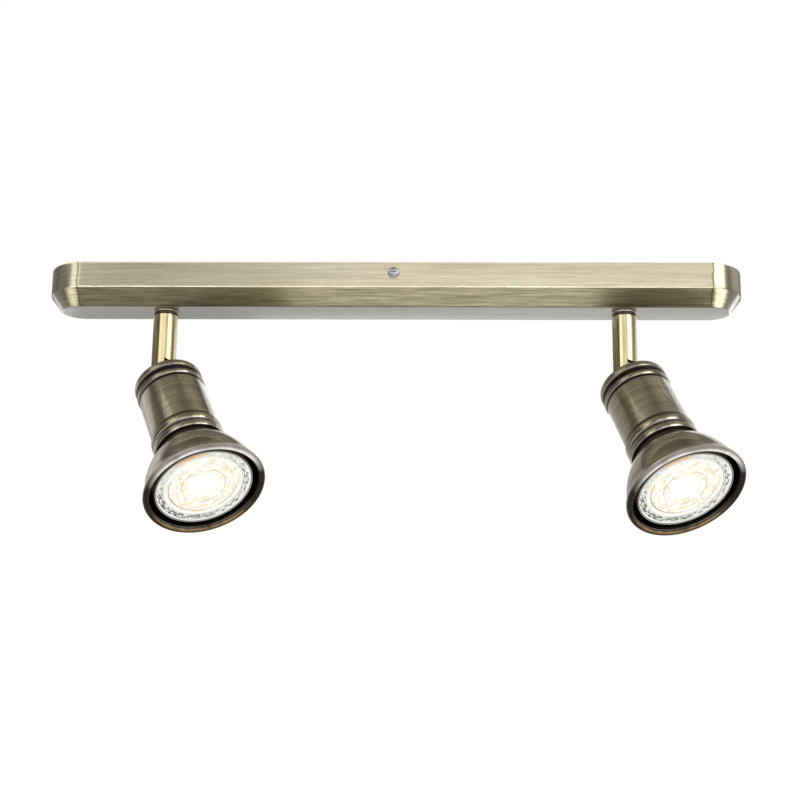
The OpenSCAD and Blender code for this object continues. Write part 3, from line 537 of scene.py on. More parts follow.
def belts(mat, height, stops):
    """Belts round the barrel, by the height above the face of the lamp."""
    share = spread(mat, height, face_level * MM, (face_level + BELT_TOP) * MM)
    return ramp(mat, share, *[(place / BELT_TOP, grey(amount)) for place, amount in stops])


def lip_turn(mat, radius, height):
    """The way round the rolled lip: a half outside, three quarters in front, one inside."""
    out = calc(mat, "SUBTRACT", radius, lip_middle * MM)
    down = calc(mat, "SUBTRACT", lip_level * MM, height)
    return spread(mat, calc(mat, "ARCTAN2", down, out), -math.pi, math.pi)


def painted_lip_light(mat, about, radius, turn, lip):
    """Painted light of the lamp on the lip, in emission: a painted bright band above, and thin warm painted reflections
    below.
    """
    ring = around(mat, about, radius)
    bright, tan, silver = (0.85, 0.83, 0.78), (0.28, 0.145, 0.035), (0.24, 0.26, 0.25)
    above = ramp(
        mat, turn, (0.42, grey(0)), (0.48, (0.20, 0.19, 0.16)), (0.66, (0.32, 0.30, 0.27)), (0.72, bright),
        (0.82, bright), (0.88, (0.22, 0.21, 0.18)), (0.95, grey(0)),
    )
    below = ramp(
        mat, turn, (0.765, grey(0)), (0.79, tan), (0.83, tan), (0.85, (0.36, 0.28, 0.18)),
        (0.88, (0.30, 0.22, 0.13)), (0.90, grey(0.02)), (0.95, grey(0.03)), (0.98, silver), (1.0, silver),
    )
    cloud = noise(mat, ring, (2.6, 2.6, 200), 3)
    up = product(mat, towards(mat, ring, 243, 0.25, 0.65), spread(mat, cloud, 0.35, 0.55, 0.65, 1.0))
    down = product(mat, towards(mat, ring, 68, 0.35, 0.9), spread(mat, cloud, 0.35, 0.55, 0.25, 1.0))
    empty = (0, 0, 0, 1)
    lit = mark(mat, mark(mat, empty, above, up), mark(mat, empty, below, down), 1.0, "ADD")
    return mark(mat, empty, lit, lip)


def head_bronze():
    mat = new_material("head_bronze", Coat_Roughness=0.03, Coat_IOR=1.55, Emission_Strength=1.0)
    about = about_axis(mat)
    where = down_the_profile(mat, about)
    fine = noise(mat, where, (45, 45, 2600), 4)
    broad = noise(mat, where, (26, 26, 700), 4)
    cloud = noise(mat, where, (60, 60, 40), 2)
    streak = ramp(mat, fine, (0.3, (0.66, 0.65, 0.62)), (0.65, grey(1)))
    band = ramp(mat, broad, (0.34, (0.66, 0.65, 0.60)), (0.62, grey(1)))
    tone = two_tones(mat, cloud, (0.34, 0.275, 0.155), (0.46, 0.38, 0.22))
    brushed = times(mat, times(mat, tone, streak), band)
    height, radius = xyz(mat, about)["Z"], radius_of(mat, about)
    # Painted highlights: thin pale lines round the beads.
    brushed = mark(mat, brushed, (0.62, 0.62, 0.62, 1), belts(mat, height, PAINTED_HIGHLIGHTS))
    lip = spread(mat, height, (face_level + 1.0) * MM, (face_level + 1.3) * MM, 1.0, 0.0)
    turn = lip_turn(mat, radius, height)
    # The front and the inner side of the rolled lip are painted dark: painted shade.
    shaded = ramp(mat, turn, (0.51, grey(0)), (0.58, grey(0.9)), (0.97, grey(0.9)), (1.0, grey(0.6)))
    inside = add(mat, "ShaderNodeAttribute", attribute_name=SHADED_INSIDE).outputs["Fac"]
    # The dark belts are partly smoke and partly painted shade; the inside of the bell is painted shade.
    smoke_and_shade = calc(mat, "MAXIMUM", belts(mat, height, SMOKE_AND_SHADE), inside)
    dark = calc(mat, "MAXIMUM", smoke_and_shade, product(mat, lip, shaded))
    plug(mat, mark(mat, brushed, (0.008, 0.006, 0.005, 1), dark), "Base Color")
    # Where the colour is painted dark, metal, lacquer and gloss are turned down too: part of the same smoke and painted
    # shade.
    for label, bare, smoked in (("Metallic", 1.0, 0.1), ("Coat Weight", 1.0, 0.06), ("Specular IOR Level", 0.5, 0.05)):
        plug(mat, spread(mat, dark, 0.0, 1.0, bare, smoked), label)
    roughened(mat, fine, 0.32, 0.22)
    # The lamp's light on the lip is painted in as emission.
    plug(mat, painted_lip_light(mat, about, radius, turn, lip), "Emission Color")
    drawn_out(mat, 0.85)
    return mat


# %% [markdown]
# The small parts have plainer finishes: zinc-plated steel, unfinished brass, moulded plastic, insulated
# wire, woven glass sleeve and unglazed ceramic. Each one still has its own marks, from the press, the
# mould or the weave.

# %% Plain metals


def zinc_steel():
    mat = new_material("zinc_steel", Metallic=1.0)
    where = object_place(mat)
    crystal = noise(mat, where, (600, 600, 600), 2)
    cloud = noise(mat, where, (120, 120, 120), 3)
    tone = two_tones(mat, crystal, (0.50, 0.52, 0.55), (0.70, 0.72, 0.75))
    haze = two_tones(mat, cloud, (0.85, 0.85, 0.87), grey(1))
    plug(mat, times(mat, tone, haze), "Base Color")
    roughened(mat, cloud, 0.42, 0.24)
    dented(mat, crystal, 0.00002, 0.4)
    return mat


def plain_brass():
    mat = new_material("plain_brass", Metallic=1.0)
    where = object_place(mat)
    fine = noise(mat, where, (200, 200, 3000), 3)
    cloud = noise(mat, where, (150, 150, 150), 3)
    plug(mat, two_tones(mat, cloud, (0.56, 0.42, 0.17), (0.74, 0.58, 0.28)), "Base Color")
    roughened(mat, fine, 0.40, 0.24)
    dented(mat, fine, 0.00002, 0.5)
    return mat


def contact_bronze():
    mat = new_material("contact_bronze", Metallic=1.0)
    cloud = noise(mat, object_place(mat), (400, 400, 400), 3)
    plug(mat, two_tones(mat, cloud, (0.55, 0.33, 0.16), (0.72, 0.46, 0.25)), "Base Color")
    roughened(mat, cloud, 0.38, 0.25)
    return mat


# %% [markdown]
# Moulded plastic and ceramic differ only in tone and gloss, so one function makes them all: a soft cloud of
# tone, and a very fine grain that breaks the gloss. The earth lead needs its green and yellow stripes,
# which are bands across the lead. The sleeve needs its weave, which is two waves that cross.

# %% Plastics, wires and ceramic


def moulded(name, dark, light, roughness):
    mat = new_material(name, IOR=1.5)
    cloud = noise(mat, object_place(mat), (250, 250, 250), 3)
    spark = noise(mat, object_place(mat), (5000, 5000, 5000), 2)
    plug(mat, two_tones(mat, cloud, dark, light), "Base Color")
    roughened(mat, spark, roughness + 0.06, roughness - 0.06)
    dented(mat, spark, 0.00002, 0.3)
    return mat


def earth_insulation():
    mat = new_material("earth_lead", IOR=1.5, Roughness=0.4)
    stripe = 0.0012
    parts = xyz(mat, object_place(mat))
    wave = noise(mat, object_place(mat), (300, 300, 300), 2)
    shaken = calc(mat, "MULTIPLY_ADD", wave, 0.0004, calc(mat, "ADD", parts["Z"], parts["Y"]))
    share = spread(mat, calc(mat, "PINGPONG", shaken, stripe), 0.0, stripe)
    green, yellow = (0.05, 0.22, 0.04), (0.65, 0.50, 0.03)
    plug(mat, ramp(mat, share, (0.48, green), (0.52, yellow)), "Base Color")
    return mat


def woven_threads(mat, where):
    inputs = {"Vector": where, "Scale": 420.0, "Distortion": 0.6}
    return add(mat, "ShaderNodeTexWave", inputs, bands_direction="DIAGONAL").outputs["Fac"]


def glass_sleeve():
    mat = new_material("glass_sleeve", Roughness=0.7, Sheen_Weight=0.3)
    where = object_place(mat)
    crossed = add(mat, "ShaderNodeMapping", {"Vector": where, "Rotation": (0, math.pi / 2, 0)}).outputs[0]
    weave = product(mat, woven_threads(mat, where), woven_threads(mat, crossed))
    plug(mat, ramp(mat, weave, (0.1, (0.45, 0.42, 0.36)), (0.7, (0.80, 0.77, 0.70))), "Base Color")
    dented(mat, weave, 0.0001, 0.8)
    return mat


# %% [markdown]
# The lamp is lit. Its front is a moulded lens: a clear dome over the light source, rings round it, and a
# ring of small prisms at the edge whose facets show as dark flecks. The glow is painted in rings about the
# lamp's axis, with amber where the light leaves the lens at a slant. The glass body behind the lens lets
# amber light out at its side, and the lacquer inside the bell picks it up.

# %% Lit lens
lamp_radius = 25.0


def lit_lens():
    mat = new_material(
        "lamp_lens", Roughness=0.12, IOR=1.45, Coat_Weight=0.2, Coat_Roughness=0.02, Emission_Strength=1.0
    )
    where = about_axis(mat)
    radius = radius_of(mat, where)
    share = spread(mat, radius, 0.0, lamp_radius * MM)
    ring = around(mat, where, radius)
    white, cream, pale = grey(1), (1.0, 0.97, 0.90), (0.84, 0.87, 0.81)
    amber, brown, rust = (1.0, 0.72, 0.34, 1), (0.36, 0.22, 0.10, 1), (0.80, 0.38, 0.08, 1)
    drab, green, dark = (0.42, 0.42, 0.36, 1), (0.45, 0.47, 0.42, 1), (0.05, 0.07, 0.05, 1)
    light = ramp(
        mat, share, (0.0, white), (0.38, white), (0.43, cream), (0.48, white), (0.60, cream), (0.66, white),
        (0.72, white), (0.76, cream), (0.79, white), (0.81, pale), (0.92, pale), (0.94, white),
    )
    patches = noise(mat, ring, (3.0, 3.0, 420), 3)
    rays = noise(mat, ring, (9, 9, 260), 4)
    breaks = noise(mat, ring, (2.2, 2.2, 30), 2)
    dashes = noise(mat, ring, (8, 8, 2100), 4)
    crowd = noise(mat, ring, (1.6, 1.6, 60), 1)
    level = spread(mat, calc(mat, "MULTIPLY_ADD", crowd, 0.22, dashes), 0.60, 0.65)
    crowded = spread(mat, towards(mat, ring, 50, -0.8, -0.1), 0.0, 1.0, 0.25, 1.0)
    layers = (
        (amber, spread(mat, patches, 0.45, 0.60, 0.0, 0.65), (0.34, 0.74, 0.05)),
        (drab, spread(mat, rays, 0.55, 0.66, 0.0, 0.4), (0.50, 0.74, 0.05)),
        (brown, spread(mat, breaks, 0.42, 0.54, 0.0, 0.6), (0.445, 0.456)),
        (brown, towards(mat, ring, 75, -0.5, 0.6), (0.70, 0.712)),
        (green, spread(mat, breaks, 0.35, 0.5, 0.2, 0.8), (0.80, 0.806)),
        (dark, product(mat, level, crowded), (0.83, 0.925, 0.02)),
        (rust, towards(mat, ring, 224, 0.88, 1.0), (0.88, 0.95, 0.05)),
    )
    for colour, amount, place in layers:
        light = mark(mat, light, colour, product(mat, amount, belt(mat, share, *place)))
    plug(mat, light, "Emission Color")
    plug(mat, two_tones(mat, rays, (0.03, 0.03, 0.028), (0.05, 0.05, 0.048)), "Base Color")
    return mat


def lamp_glass():
    mat = new_material(
        "lamp_body", Roughness=0.10, IOR=1.5, Coat_Weight=1.0, Coat_Roughness=0.02, Emission_Strength=1.0
    )
    where = about_axis(mat)
    cloud = noise(mat, where, (200, 200, 200), 3)
    plug(mat, two_tones(mat, cloud, (0.030, 0.028, 0.024), (0.060, 0.056, 0.048)), "Base Color")
    share = spread(mat, radius_of(mat, where), 0.0, lamp_radius * MM)
    rim = ramp(
        mat, share, (0.940, grey(0.75)), (0.955, grey(0.95)), (0.962, grey(0.05)), (0.972, grey(0.03)),
        (0.978, grey(0.45)), (0.985, grey(0.40)), (0.992, grey(0.03)), (1.0, grey(0.03)),
    )
    behind = spread(mat, xyz(mat, where)["Z"], (face_level + 0.5) * MM, (face_level + 1.2) * MM)
    ember = two_tones(mat, cloud, (0.020, 0.007, 0.002), (0.05, 0.02, 0.006))
    plug(mat, mark(mat, rim, ember, behind), "Emission Color")
    return mat


# %% [markdown]
# Each part of the construction names the material that it is made of. This table gives each of these names
# its finish. The built parts take theirs at once, so a part that gets no new shape is finished as well.

# %% Materials by the record's slots
finishes = {
    "cover_brass": cover_brass(),
    "arm_brass": arm_brass(),
    "head_bronze": head_bronze(),
    "zinc_steel": zinc_steel(),
    "plain_brass": plain_brass(),
    "contact_bronze": contact_bronze(),
    "dark_nylon": moulded("dark_nylon", (0.035, 0.018, 0.010), (0.06, 0.032, 0.018), 0.35),
    "white_plastic": moulded("white_plastic", (0.72, 0.72, 0.70), (0.80, 0.80, 0.78), 0.40),
    "brown_lead": moulded("brown_lead", (0.14, 0.06, 0.025), (0.20, 0.09, 0.04), 0.38),
    "earth_lead": earth_insulation(),
    "glass_sleeve": glass_sleeve(),
    "ceramic": moulded("ceramic", (0.70, 0.68, 0.62), (0.82, 0.80, 0.74), 0.75),
    "lamp_body": lamp_glass(),
    "lamp_lens": lit_lens(),
    "lamp_board": moulded("lamp_board", (0.78, 0.76, 0.66), (0.86, 0.84, 0.74), 0.5),
}
for node, cad_object in frame["nodes"].items():
    cad_object.data.materials.clear()
    cad_object.data.materials.append(finishes[slots[node]])
print(f"{len(finishes)} finishes")

# %% [markdown]
# Every new piece is finished the same way: its mesh gets a material, smooth shading with sharp edges where
# the surface turns, and the body that it rides on. It then stands for its part in the frame.

# %% Small tools for pieces
SHARP_ANGLE = math.radians(32)


def apply_modifiers(obj):
    graph = bpy.context.evaluated_depsgraph_get()
    made = bpy.data.meshes.new_from_object(obj.evaluated_get(graph))
    obj.modifiers.clear()
    obj.data = made


def combine(obj, operation, *others):
    """Cuts other objects out of a piece or fuses them with it, and then lets them go."""
    for other in others:
        step = obj.modifiers.new(operation, "BOOLEAN")
        step.operation = operation
        step.solver = "EXACT"
        step.object = other
    apply_modifiers(obj)
    for other in others:
        bpy.data.objects.remove(other)


def round_edges(obj, width, segments=2):
    bevel = obj.modifiers.new("edges", "BEVEL")
    bevel.width = width * MM
    bevel.segments = segments
    bevel.limit_method = "ANGLE"
    bevel.angle_limit = SHARP_ANGLE
    bevel.use_clamp_overlap = True


def stand_for(obj, node):
    """Gives a piece the finish of a node, and lets it take the place of that node."""
    obj.data.materials.clear()
    obj.data.materials.append(finishes[slots[node]])
    obj.data.polygons.foreach_set("use_smooth", [True] * len(obj.data.polygons))
    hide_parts(node)


def dress(obj, node):
    """Finishes a piece that rides on the same body as its node."""
    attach(obj, frame["nodes"][node]["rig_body"])
    stand_for(obj, node)
    obj.data.set_sharp_from_angle(angle=SHARP_ANGLE)


# %% [markdown]
# Barrel, bell, lamp and rings come off a lathe, and the same is done here: an outline of radius and height
# is spun about the axis. A modifier could spin it too, but a mesh of plain points lets each point keep its
# place about the axis, which the finish needs. Round bars are also the drills and cutters for holes.

# %% Turned shapes
USUAL_RADIUS = 20


def arc(centre, radius, start, end, steps):
    """Points of an arc in an outline, from one angle to another in degrees."""
    angles = [math.radians(start + (end - start) * i / steps) for i in range(steps + 1)]
    return [(centre[0] + radius * math.cos(a), centre[1] + radius * math.sin(a)) for a in angles]


def above_face(points):
    """Moves points whose heights count from the face of the lamp, the front of each head."""
    return [(radius, face_level + height) for radius, height in points]


def curve(a, b, c, d, steps):
    """Points of a curve with two handles."""
    found = interpolate_bezier(*[(*p, 0) for p in (a, b, c, d)], steps)
    return [(p[0], p[1]) for p in found]


def turned(outline, steps):
    """Spins an outline of (radius, height) in millimetres about the axis."""
    bm = bmesh.new()
    ring = [bm.verts.new((r * MM, 0, z * MM)) for r, z in outline]
    for a, b in zip(ring, ring[1:] + ring[:1]):
        if a.co.x > 0 or b.co.x > 0:
            bm.edges.new((a, b))
    bmesh.ops.spin(
        bm, geom=bm.verts[:] + bm.edges[:], cent=(0, 0, 0), axis=(0, 0, 1),
        angle=2 * math.pi, steps=steps, use_merge=True, use_duplicate=False,
    )
    bmesh.ops.remove_doubles(bm, verts=bm.verts[:], dist=1e-7)
    bmesh.ops.recalc_face_normals(bm, faces=bm.faces[:])
    return bm


def lay_turned_maps(mesh, is_inside=None):
    """Keeps each point's place about the axis, and a map whose first way runs round it."""
    kept = mesh.attributes.new(TURNED, "FLOAT_VECTOR", "POINT")
    kept.data.foreach_set("vector", [c for v in mesh.vertices for c in v.co])
    if is_inside:
        spots = [(math.hypot(v.co.x, v.co.y) / MM, v.co.z / MM) for v in mesh.vertices]
        hidden = mesh.attributes.new(SHADED_INSIDE, "FLOAT", "POINT")
        hidden.data.foreach_set("value", [float(is_inside(*spot)) for spot in spots])
    grain = mesh.uv_layers.new(name=GRAIN)
    for face in mesh.polygons:
        middle = math.atan2(face.center.y, face.center.x)
        for i in face.loop_indices:
            spot = mesh.vertices[mesh.loops[i].vertex_index].co
            turn = math.remainder(math.atan2(spot.y, spot.x) - middle, 2 * math.pi)
            grain.data[i].uv = ((middle + turn) * USUAL_RADIUS * MM, math.hypot(spot.x, spot.y) - spot.z)


def turned_piece(name, place, outline, node, edge=0.0, steps=96, cutters=(), is_inside=None):
    obj = as_object(turned(outline, steps), name)
    if cutters:
        combine(obj, "DIFFERENCE", *cutters)
    lay_turned_maps(obj.data, is_inside)
    obj.data.transform(place)
    if edge:
        round_edges(obj, edge)
    dress(obj, node)


def shifted(x=0, y=0, z=0):
    return Matrix.Translation((x * MM, y * MM, z * MM))


def rod(radius, low, high, place=Matrix.Identity(4), sides=48):
    """A plain round bar between two levels of its own axis, to cut or to fuse with."""
    bm = bmesh.new()
    bmesh.ops.create_cone(
        bm, cap_ends=True, segments=sides, radius1=radius * MM, radius2=radius * MM,
        depth=(high - low) * MM, matrix=place @ shifted(z=(low + high) / 2),
    )
    return as_object(bm, "rod")


def box_matrix(low, high):
    """Makes a cube of size one fill the space between two corners."""
    size = [(b - a) * MM for a, b in zip(low, high)]
    return shifted(*[(a + b) / 2 for a, b in zip(low, high)]) @ Matrix.Diagonal((*size, 1))


# %% [markdown]
# The cover is one sheet: an upright side, a sloping edge and a flat face, with both ends bent round in a
# half circle. A quarter of it is enough. The section is a few points whose corners are rounded by a bevel.
# It is spun a quarter turn for the end, drawn out to the middle for the straight part, and mirrored twice.
# The sheet then gets its thickness inwards, and its holes.

# %% Cover: one quarter of the sheet
bar_low, bar_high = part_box("bar_cover")
half_width = bar_high.y
end_x = bar_high.x - half_width
bar_bottom = bar_low.z
side_bottom = -14.1 * MM
slope_width = 8.6 * MM
sheet = 1.0 * MM
bend_length = 0.6 * MM
end_stretch = 0.27
rim_roll = 1.1
CLOSE = 1e-6


def cover_quarter():
    bm = bmesh.new()
    roll = arc((half_width / MM - rim_roll, -rim_roll), rim_roll, 85, 0, 5)
    section = [
        *[(y * MM, z * MM) for y, z in roll], (half_width, side_bottom),
        (half_width - slope_width, bar_bottom), (0, bar_bottom),
    ]
    line = [bm.verts.new((end_x, -y, z)) for y, z in section]
    for a, b in zip(line, line[1:]):
        bm.edges.new((a, b))
    bmesh.ops.bevel(
        bm, geom=line[-3:-1], offset=bend_length, offset_type="OFFSET", segments=6, profile=0.5,
        affect="VERTICES", material=-1,
    )
    bmesh.ops.spin(
        bm, geom=bm.verts[:] + bm.edges[:], cent=(end_x, 0, 0), axis=(0, 0, 1),
        angle=math.pi / 2, steps=32, use_merge=False, use_duplicate=False,
    )
    for vert in bm.verts:
        deep = min(max((side_bottom - vert.co.z) / (side_bottom - bar_bottom), 0), 1)
        vert.co.x = end_x + (vert.co.x - end_x) * (1 + end_stretch * deep)
    start = [
        edge for edge in bm.edges
        if edge.is_boundary and all(abs(v.co.x - end_x) < CLOSE and v.co.y <= 0 for v in edge.verts)
    ]
    straight = bmesh.ops.extrude_edge_only(bm, edges=start)["geom"]
    drawn = [v for v in straight if isinstance(v, bmesh.types.BMVert)]
    bmesh.ops.translate(bm, vec=(-end_x, 0, 0), verts=drawn)
    return bm


def cover_sheet():
    bm = cover_quarter()
    for axis in ("X", "Y"):
        bmesh.ops.mirror(bm, geom=bm.verts[:] + bm.edges[:] + bm.faces[:], merge_dist=CLOSE, axis=axis)
    bmesh.ops.remove_doubles(bm, verts=bm.verts[:], dist=CLOSE)
    bmesh.ops.recalc_face_normals(bm, faces=bm.faces[:])
    return bm


def lay_cover_grain(mesh):
    """A map that runs along the sheet and round its ends, and down the section."""
    grain = mesh.uv_layers.new(name=GRAIN)
    for face in mesh.polygons:
        flat = face.normal.z < -0.95
        for i in face.loop_indices:
            x, y, z = mesh.vertices[mesh.loops[i].vertex_index].co
            past = max(abs(x) - end_x, 0)
            turn = math.atan2(past, abs(y)) if abs(y) > CLOSE or past > CLOSE else 0
            along = math.copysign(min(abs(x), end_x) + half_width * turn, x)
            row = FLAT_ROW + y if flat else math.copysign(z - SIDE_ROW, y)
            grain.data[i].uv = (x if flat else along, row)


# %% [markdown]
# Sheet metal is as thick all over, so the cover's thickness comes from one modifier, after the map is laid.
# The arms and the two cover screws pass through plain round holes. Beside each arm a small lug stands on
# the inside: the tab of the stop washer meets it, and so the swivel ends.

# %% Cover: thickness, holes and stop lugs
arm_spots = [joints["swivel_" + side]["pos_m"][0] / MM for side in SIDES]
nipple_hole = (5.0, -30, -15)
screw_drop = -6.5
screw_hole = (1.6, -25, 25)
lug_low = (-0.8, 7.25, -21.1)
lug_high = (0.8, 8.95, -19.9)


def add_lugs(mesh):
    """Two small stops that stand on the inside of the sheet, one beside each arm."""
    bm = bmesh.new()
    bm.from_mesh(mesh)
    grain = bm.loops.layers.uv[GRAIN]
    for x in arm_spots:
        made = bmesh.ops.create_cube(bm, size=1, matrix=shifted(x) @ box_matrix(lug_low, lug_high))["verts"]
        for face in {f for v in made for f in v.link_faces}:
            for loop in face.loops:
                loop[grain].uv = (loop.vert.co.x + loop.vert.co.z, FLAT_ROW + loop.vert.co.y)
    bm.to_mesh(mesh)
    bm.free()


cover = as_object(cover_sheet(), "cover_sheet")
lay_cover_grain(cover.data)
wall = cover.modifiers.new("sheet", "SOLIDIFY")
wall.thickness = sheet
wall.offset = -1
wall.use_even_offset = True
apply_modifiers(cover)
nipple_cutters = [rod(*nipple_hole, shifted(x), 64) for x in arm_spots]
front_to_back = shifted(z=screw_drop) @ Matrix.Rotation(math.pi / 2, 4, "X")
combine(cover, "DIFFERENCE", *nipple_cutters, rod(*screw_hole, front_to_back, 64))
add_lugs(cover.data)
round_edges(cover, 0.2)
dress(cover, "bar_cover")
print(f"cover: {len(cover.data.polygons)} faces")

# %% [markdown]
# The small joints of the object stay the shapes that they were built as. Their edges are what gives a
# plain part away: on a real one, each edge is a little rounded and catches a line of light. So a copy of
# the built part is merged, its flat faces are joined again, and a narrow bevel runs round its edges.

# %% Small parts with rounded edges
FLAT_ENOUGH = math.radians(2)
nut_depth = 5.25
cross_reach, cross_half, cross_depth = 1.7, 0.3, 0.9
screw_low, screw_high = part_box("cover_screws")


def node_copy(node):
    bm = bmesh.new()
    bm.from_mesh(frame["nodes"][node].data)
    bmesh.ops.remove_doubles(bm, verts=bm.verts[:], dist=2e-6)
    return bm


def merged_copy(node):
    """A clean mesh with the shape of a built part."""
    bm = node_copy(node)
    bmesh.ops.dissolve_limit(bm, angle_limit=FLAT_ENOUGH, verts=bm.verts[:], edges=bm.edges[:])
    bmesh.ops.recalc_face_normals(bm, faces=bm.faces[:])
    return bm


def edged_piece(bm, node, edge, *cutters):
    obj = as_object(bm, node + "_finished")
    if cutters:
        combine(obj, "DIFFERENCE", *cutters)
    round_edges(obj, edge)
    dress(obj, node)


def cut_short(bm, side):
    """Draws the end of a cross screw or its nut back into the arm's tube."""
    pivot, sideways = Vector(joints["tilt_" + side]["pos_m"]), -Vector(joints["tilt_" + side]["axis"])
    for vert in bm.verts:
        over = -nut_depth * MM - (vert.co - pivot).dot(sideways)
        if over > 0:
            vert.co += over * sideways
    return bm


def cross_cutters():
    """Two bars across each screw head, which leave its cross recess."""
    crosses = []
    for face in (screw_low.y / MM, screw_high.y / MM):
        for across, up in ((cross_reach, cross_half), (cross_half, cross_reach)):
            corners = [(way * across, face + way * cross_depth, screw_drop + way * up) for way in (-1, 1)]
            bm = bmesh.new()
            bmesh.ops.create_cube(bm, size=1, matrix=box_matrix(*corners))
            crosses.append(as_object(bm, "cross"))
    return crosses


edged = {"mounting_bracket": 0.2, "block_screw": 0.1, "earth_screw": 0.1}
pair_edges = {
    "stop_washer_": 0.1, "swivel_nut_": 0.25, "tongue_nut_": 0.15, "holder_bracket_": 0.1,
    "holder_screws_": 0.1, "lamp_pins_": 0.2,
}
for side in SIDES:
    edged.update({name + side: edge for name, edge in pair_edges.items()})
for node, edge in edged.items():
    edged_piece(merged_copy(node), node, edge)
for side in SIDES:
    for node, edge in (("tilt_screw_" + side, 0.12), ("tilt_nut_" + side, 0.15)):
        edged_piece(cut_short(merged_copy(node), side), node, edge)
edged_piece(merged_copy("cover_screws"), "cover_screws", 0.15, *cross_cutters())
print(f"{len(edged)} small parts have rounded edges")

# %% [markdown]
# The arm starts with a thin brass collar against the cover. A dark ring of nylon below it lets the arm
# turn without scraping. Both are narrow turned rings.

# %% Collar and ring
arm_radius = 6.35
nipple_seat = 5.0
collar_levels = (-22.5, -22.0)
ring_levels = (-24.3, -22.65)
tube_gap = 0.15


def flat_ring(low, high, inner, outer, crown=0.0):
    """Outline of a ring whose outer wall swells a little."""
    middle = (low + high) / 2
    return [(inner, high), (outer, high), (outer + crown, middle), (outer, low), (inner, low)]


rings = {"swivel_collar_": (collar_levels, 0.15, 0.0), "friction_ring_": (ring_levels, 0.25, 0.05)}
for side in SIDES:
    spot = Matrix.Translation((joints["swivel_" + side]["pos_m"][0], 0, 0))
    for name, (levels, edge, crown) in rings.items():
        left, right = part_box(name + side)
        outline = flat_ring(*levels, nipple_seat, (right.x - left.x) / 2 / MM, crown)
        turned_piece(name + "turned_" + side, spot, outline, name + side, edge)
print("collars and rings")

# %% [markdown]
# The arm is a drawn tube. Its lower end is closed by a plug that is rounded like a ball, and a slot
# through both takes the flat tongue of the head. A cross screw clamps the tongue in the slot, with its
# head and its nut each in a shallow seat. The slot and the seats are cut with boolean tools, just as they
# would be milled.

# %% Tube and plug of an arm
tongue_middle = -1.1
tongue_thickness = 3.8
eye_radius = 7.8
slot_clearance = 0.1
pocket_radius = eye_radius + 0.3
pocket_drop = 0.9
ball_radius = eye_radius - 0.2
tube_bore = arm_radius - 1.0
plug_radius = tube_bore - 0.05
screw_seat = (2.95, 5.2, 12)
nut_seat = (3.4, -12, -5.0)
screw_passage = (1.5, -9, 9)
half_passage = (1.5, 0, 9)
tube_top = ring_levels[0] - tube_gap
plug_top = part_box("arm_fork_left")[1].z / MM
lead_groove = (2.3, -70, -30)
groove_spot = (2.6, 3.05)
overlap = 6
crosswise = Matrix.Rotation(math.pi / 2, 4, "Y")


def tilt_cutters(nut_shows):
    """The slot for the tongue, the passage of the cross screw and the seats of its two ends."""
    half_slot = tongue_thickness / 2 + slot_clearance
    across = shifted(z=pivot_z) @ crosswise
    slot_place = shifted(z=pivot_z - pocket_drop) @ crosswise
    cutters = [
        rod(pocket_radius, tongue_middle - half_slot, tongue_middle + half_slot, slot_place, 96),
        rod(*(screw_passage if nut_shows else half_passage), across, 32),
        rod(*screw_seat, across),
    ]
    if nut_shows:
        cutters.append(rod(*nut_seat, across))
    return cutters


def arm_outline():
    bend = math.degrees(math.acos(arm_radius / ball_radius))
    inner = math.degrees(math.acos(tube_bore / ball_radius))
    rounded = arc((0, pivot_z), ball_radius, -bend, -inner, 4)
    bore_top = tube_top - overlap
    return [(nipple_seat, tube_top), (arm_radius, tube_top), *rounded, (tube_bore, bore_top), (nipple_seat, bore_top)]


def plug_outline():
    start = -math.degrees(math.acos(plug_radius / ball_radius))
    return [(0, plug_top), (plug_radius, plug_top), *arc((0, pivot_z), ball_radius, start, -90, 16)]


for side in SIDES:
    place = arm_place(side)
    turned_piece("arm_tube_turned_" + side, place, arm_outline(), "arm_tube_" + side, 0.15, cutters=tilt_cutters(False))
    cutters = [*tilt_cutters(True), rod(*lead_groove, shifted(*groove_spot))]
    turned_piece("arm_plug_turned_" + side, place, plug_outline(), "arm_fork_" + side, 0.15, cutters=cutters)
print("arm tubes and plugs")

# %% [markdown]
# The tongue is a steel pressing: a round eye, a neck and a foot that sits on the head, with a stud through
# the head's wall. The flat part is an outline drawn out to its thickness, the foot and the stud are turned.

# %% Tongue of a head
neck_near, neck_far = 3.9, 2.4
eye_seen = 6.3
foot_level = -(eye_radius + 0.3)
foot_radius = 3.3
foot_thickness = 1.6
stud_radius = 2.45
stud_length = 9


def tongue_plate(place):
    bm = bmesh.new()
    start, end = [math.degrees(math.acos(width / eye_seen)) for width in (neck_far, neck_near)]
    eye = arc((0, 0), eye_seen, -start, 180 + end, 48)
    outline = [*eye, (-neck_near, foot_level - 0.4), (neck_far, foot_level - 0.4)]
    near_side = tongue_middle - tongue_thickness / 2
    face = bm.faces.new([bm.verts.new((near_side * MM, y * MM, z * MM)) for y, z in outline])
    drawn = bmesh.ops.extrude_face_region(bm, geom=[face])["geom"]
    moved = [v for v in drawn if isinstance(v, bmesh.types.BMVert)]
    bmesh.ops.translate(bm, vec=(tongue_thickness * MM, 0, 0), verts=moved)
    bmesh.ops.recalc_face_normals(bm, faces=bm.faces[:])
    bmesh.ops.transform(bm, matrix=place, verts=bm.verts[:])
    return as_object(bm, "tongue_plate")


for side in SIDES:
    place = head_place(side)
    plate = tongue_plate(place)
    foot = rod(foot_radius, foot_level - foot_thickness, foot_level, place, 64)
    stud = rod(stud_radius, foot_level - foot_thickness - stud_length, foot_level, place)
    combine(plate, "UNION", foot, stud)
    combine(plate, "DIFFERENCE", rod(*screw_passage, place @ crosswise, 32))
    plate.name = "tilt_tongue_pressed_" + side
    round_edges(plate, 0.3, 3)
    dress(plate, "tilt_tongue_" + side)
print("tongues")

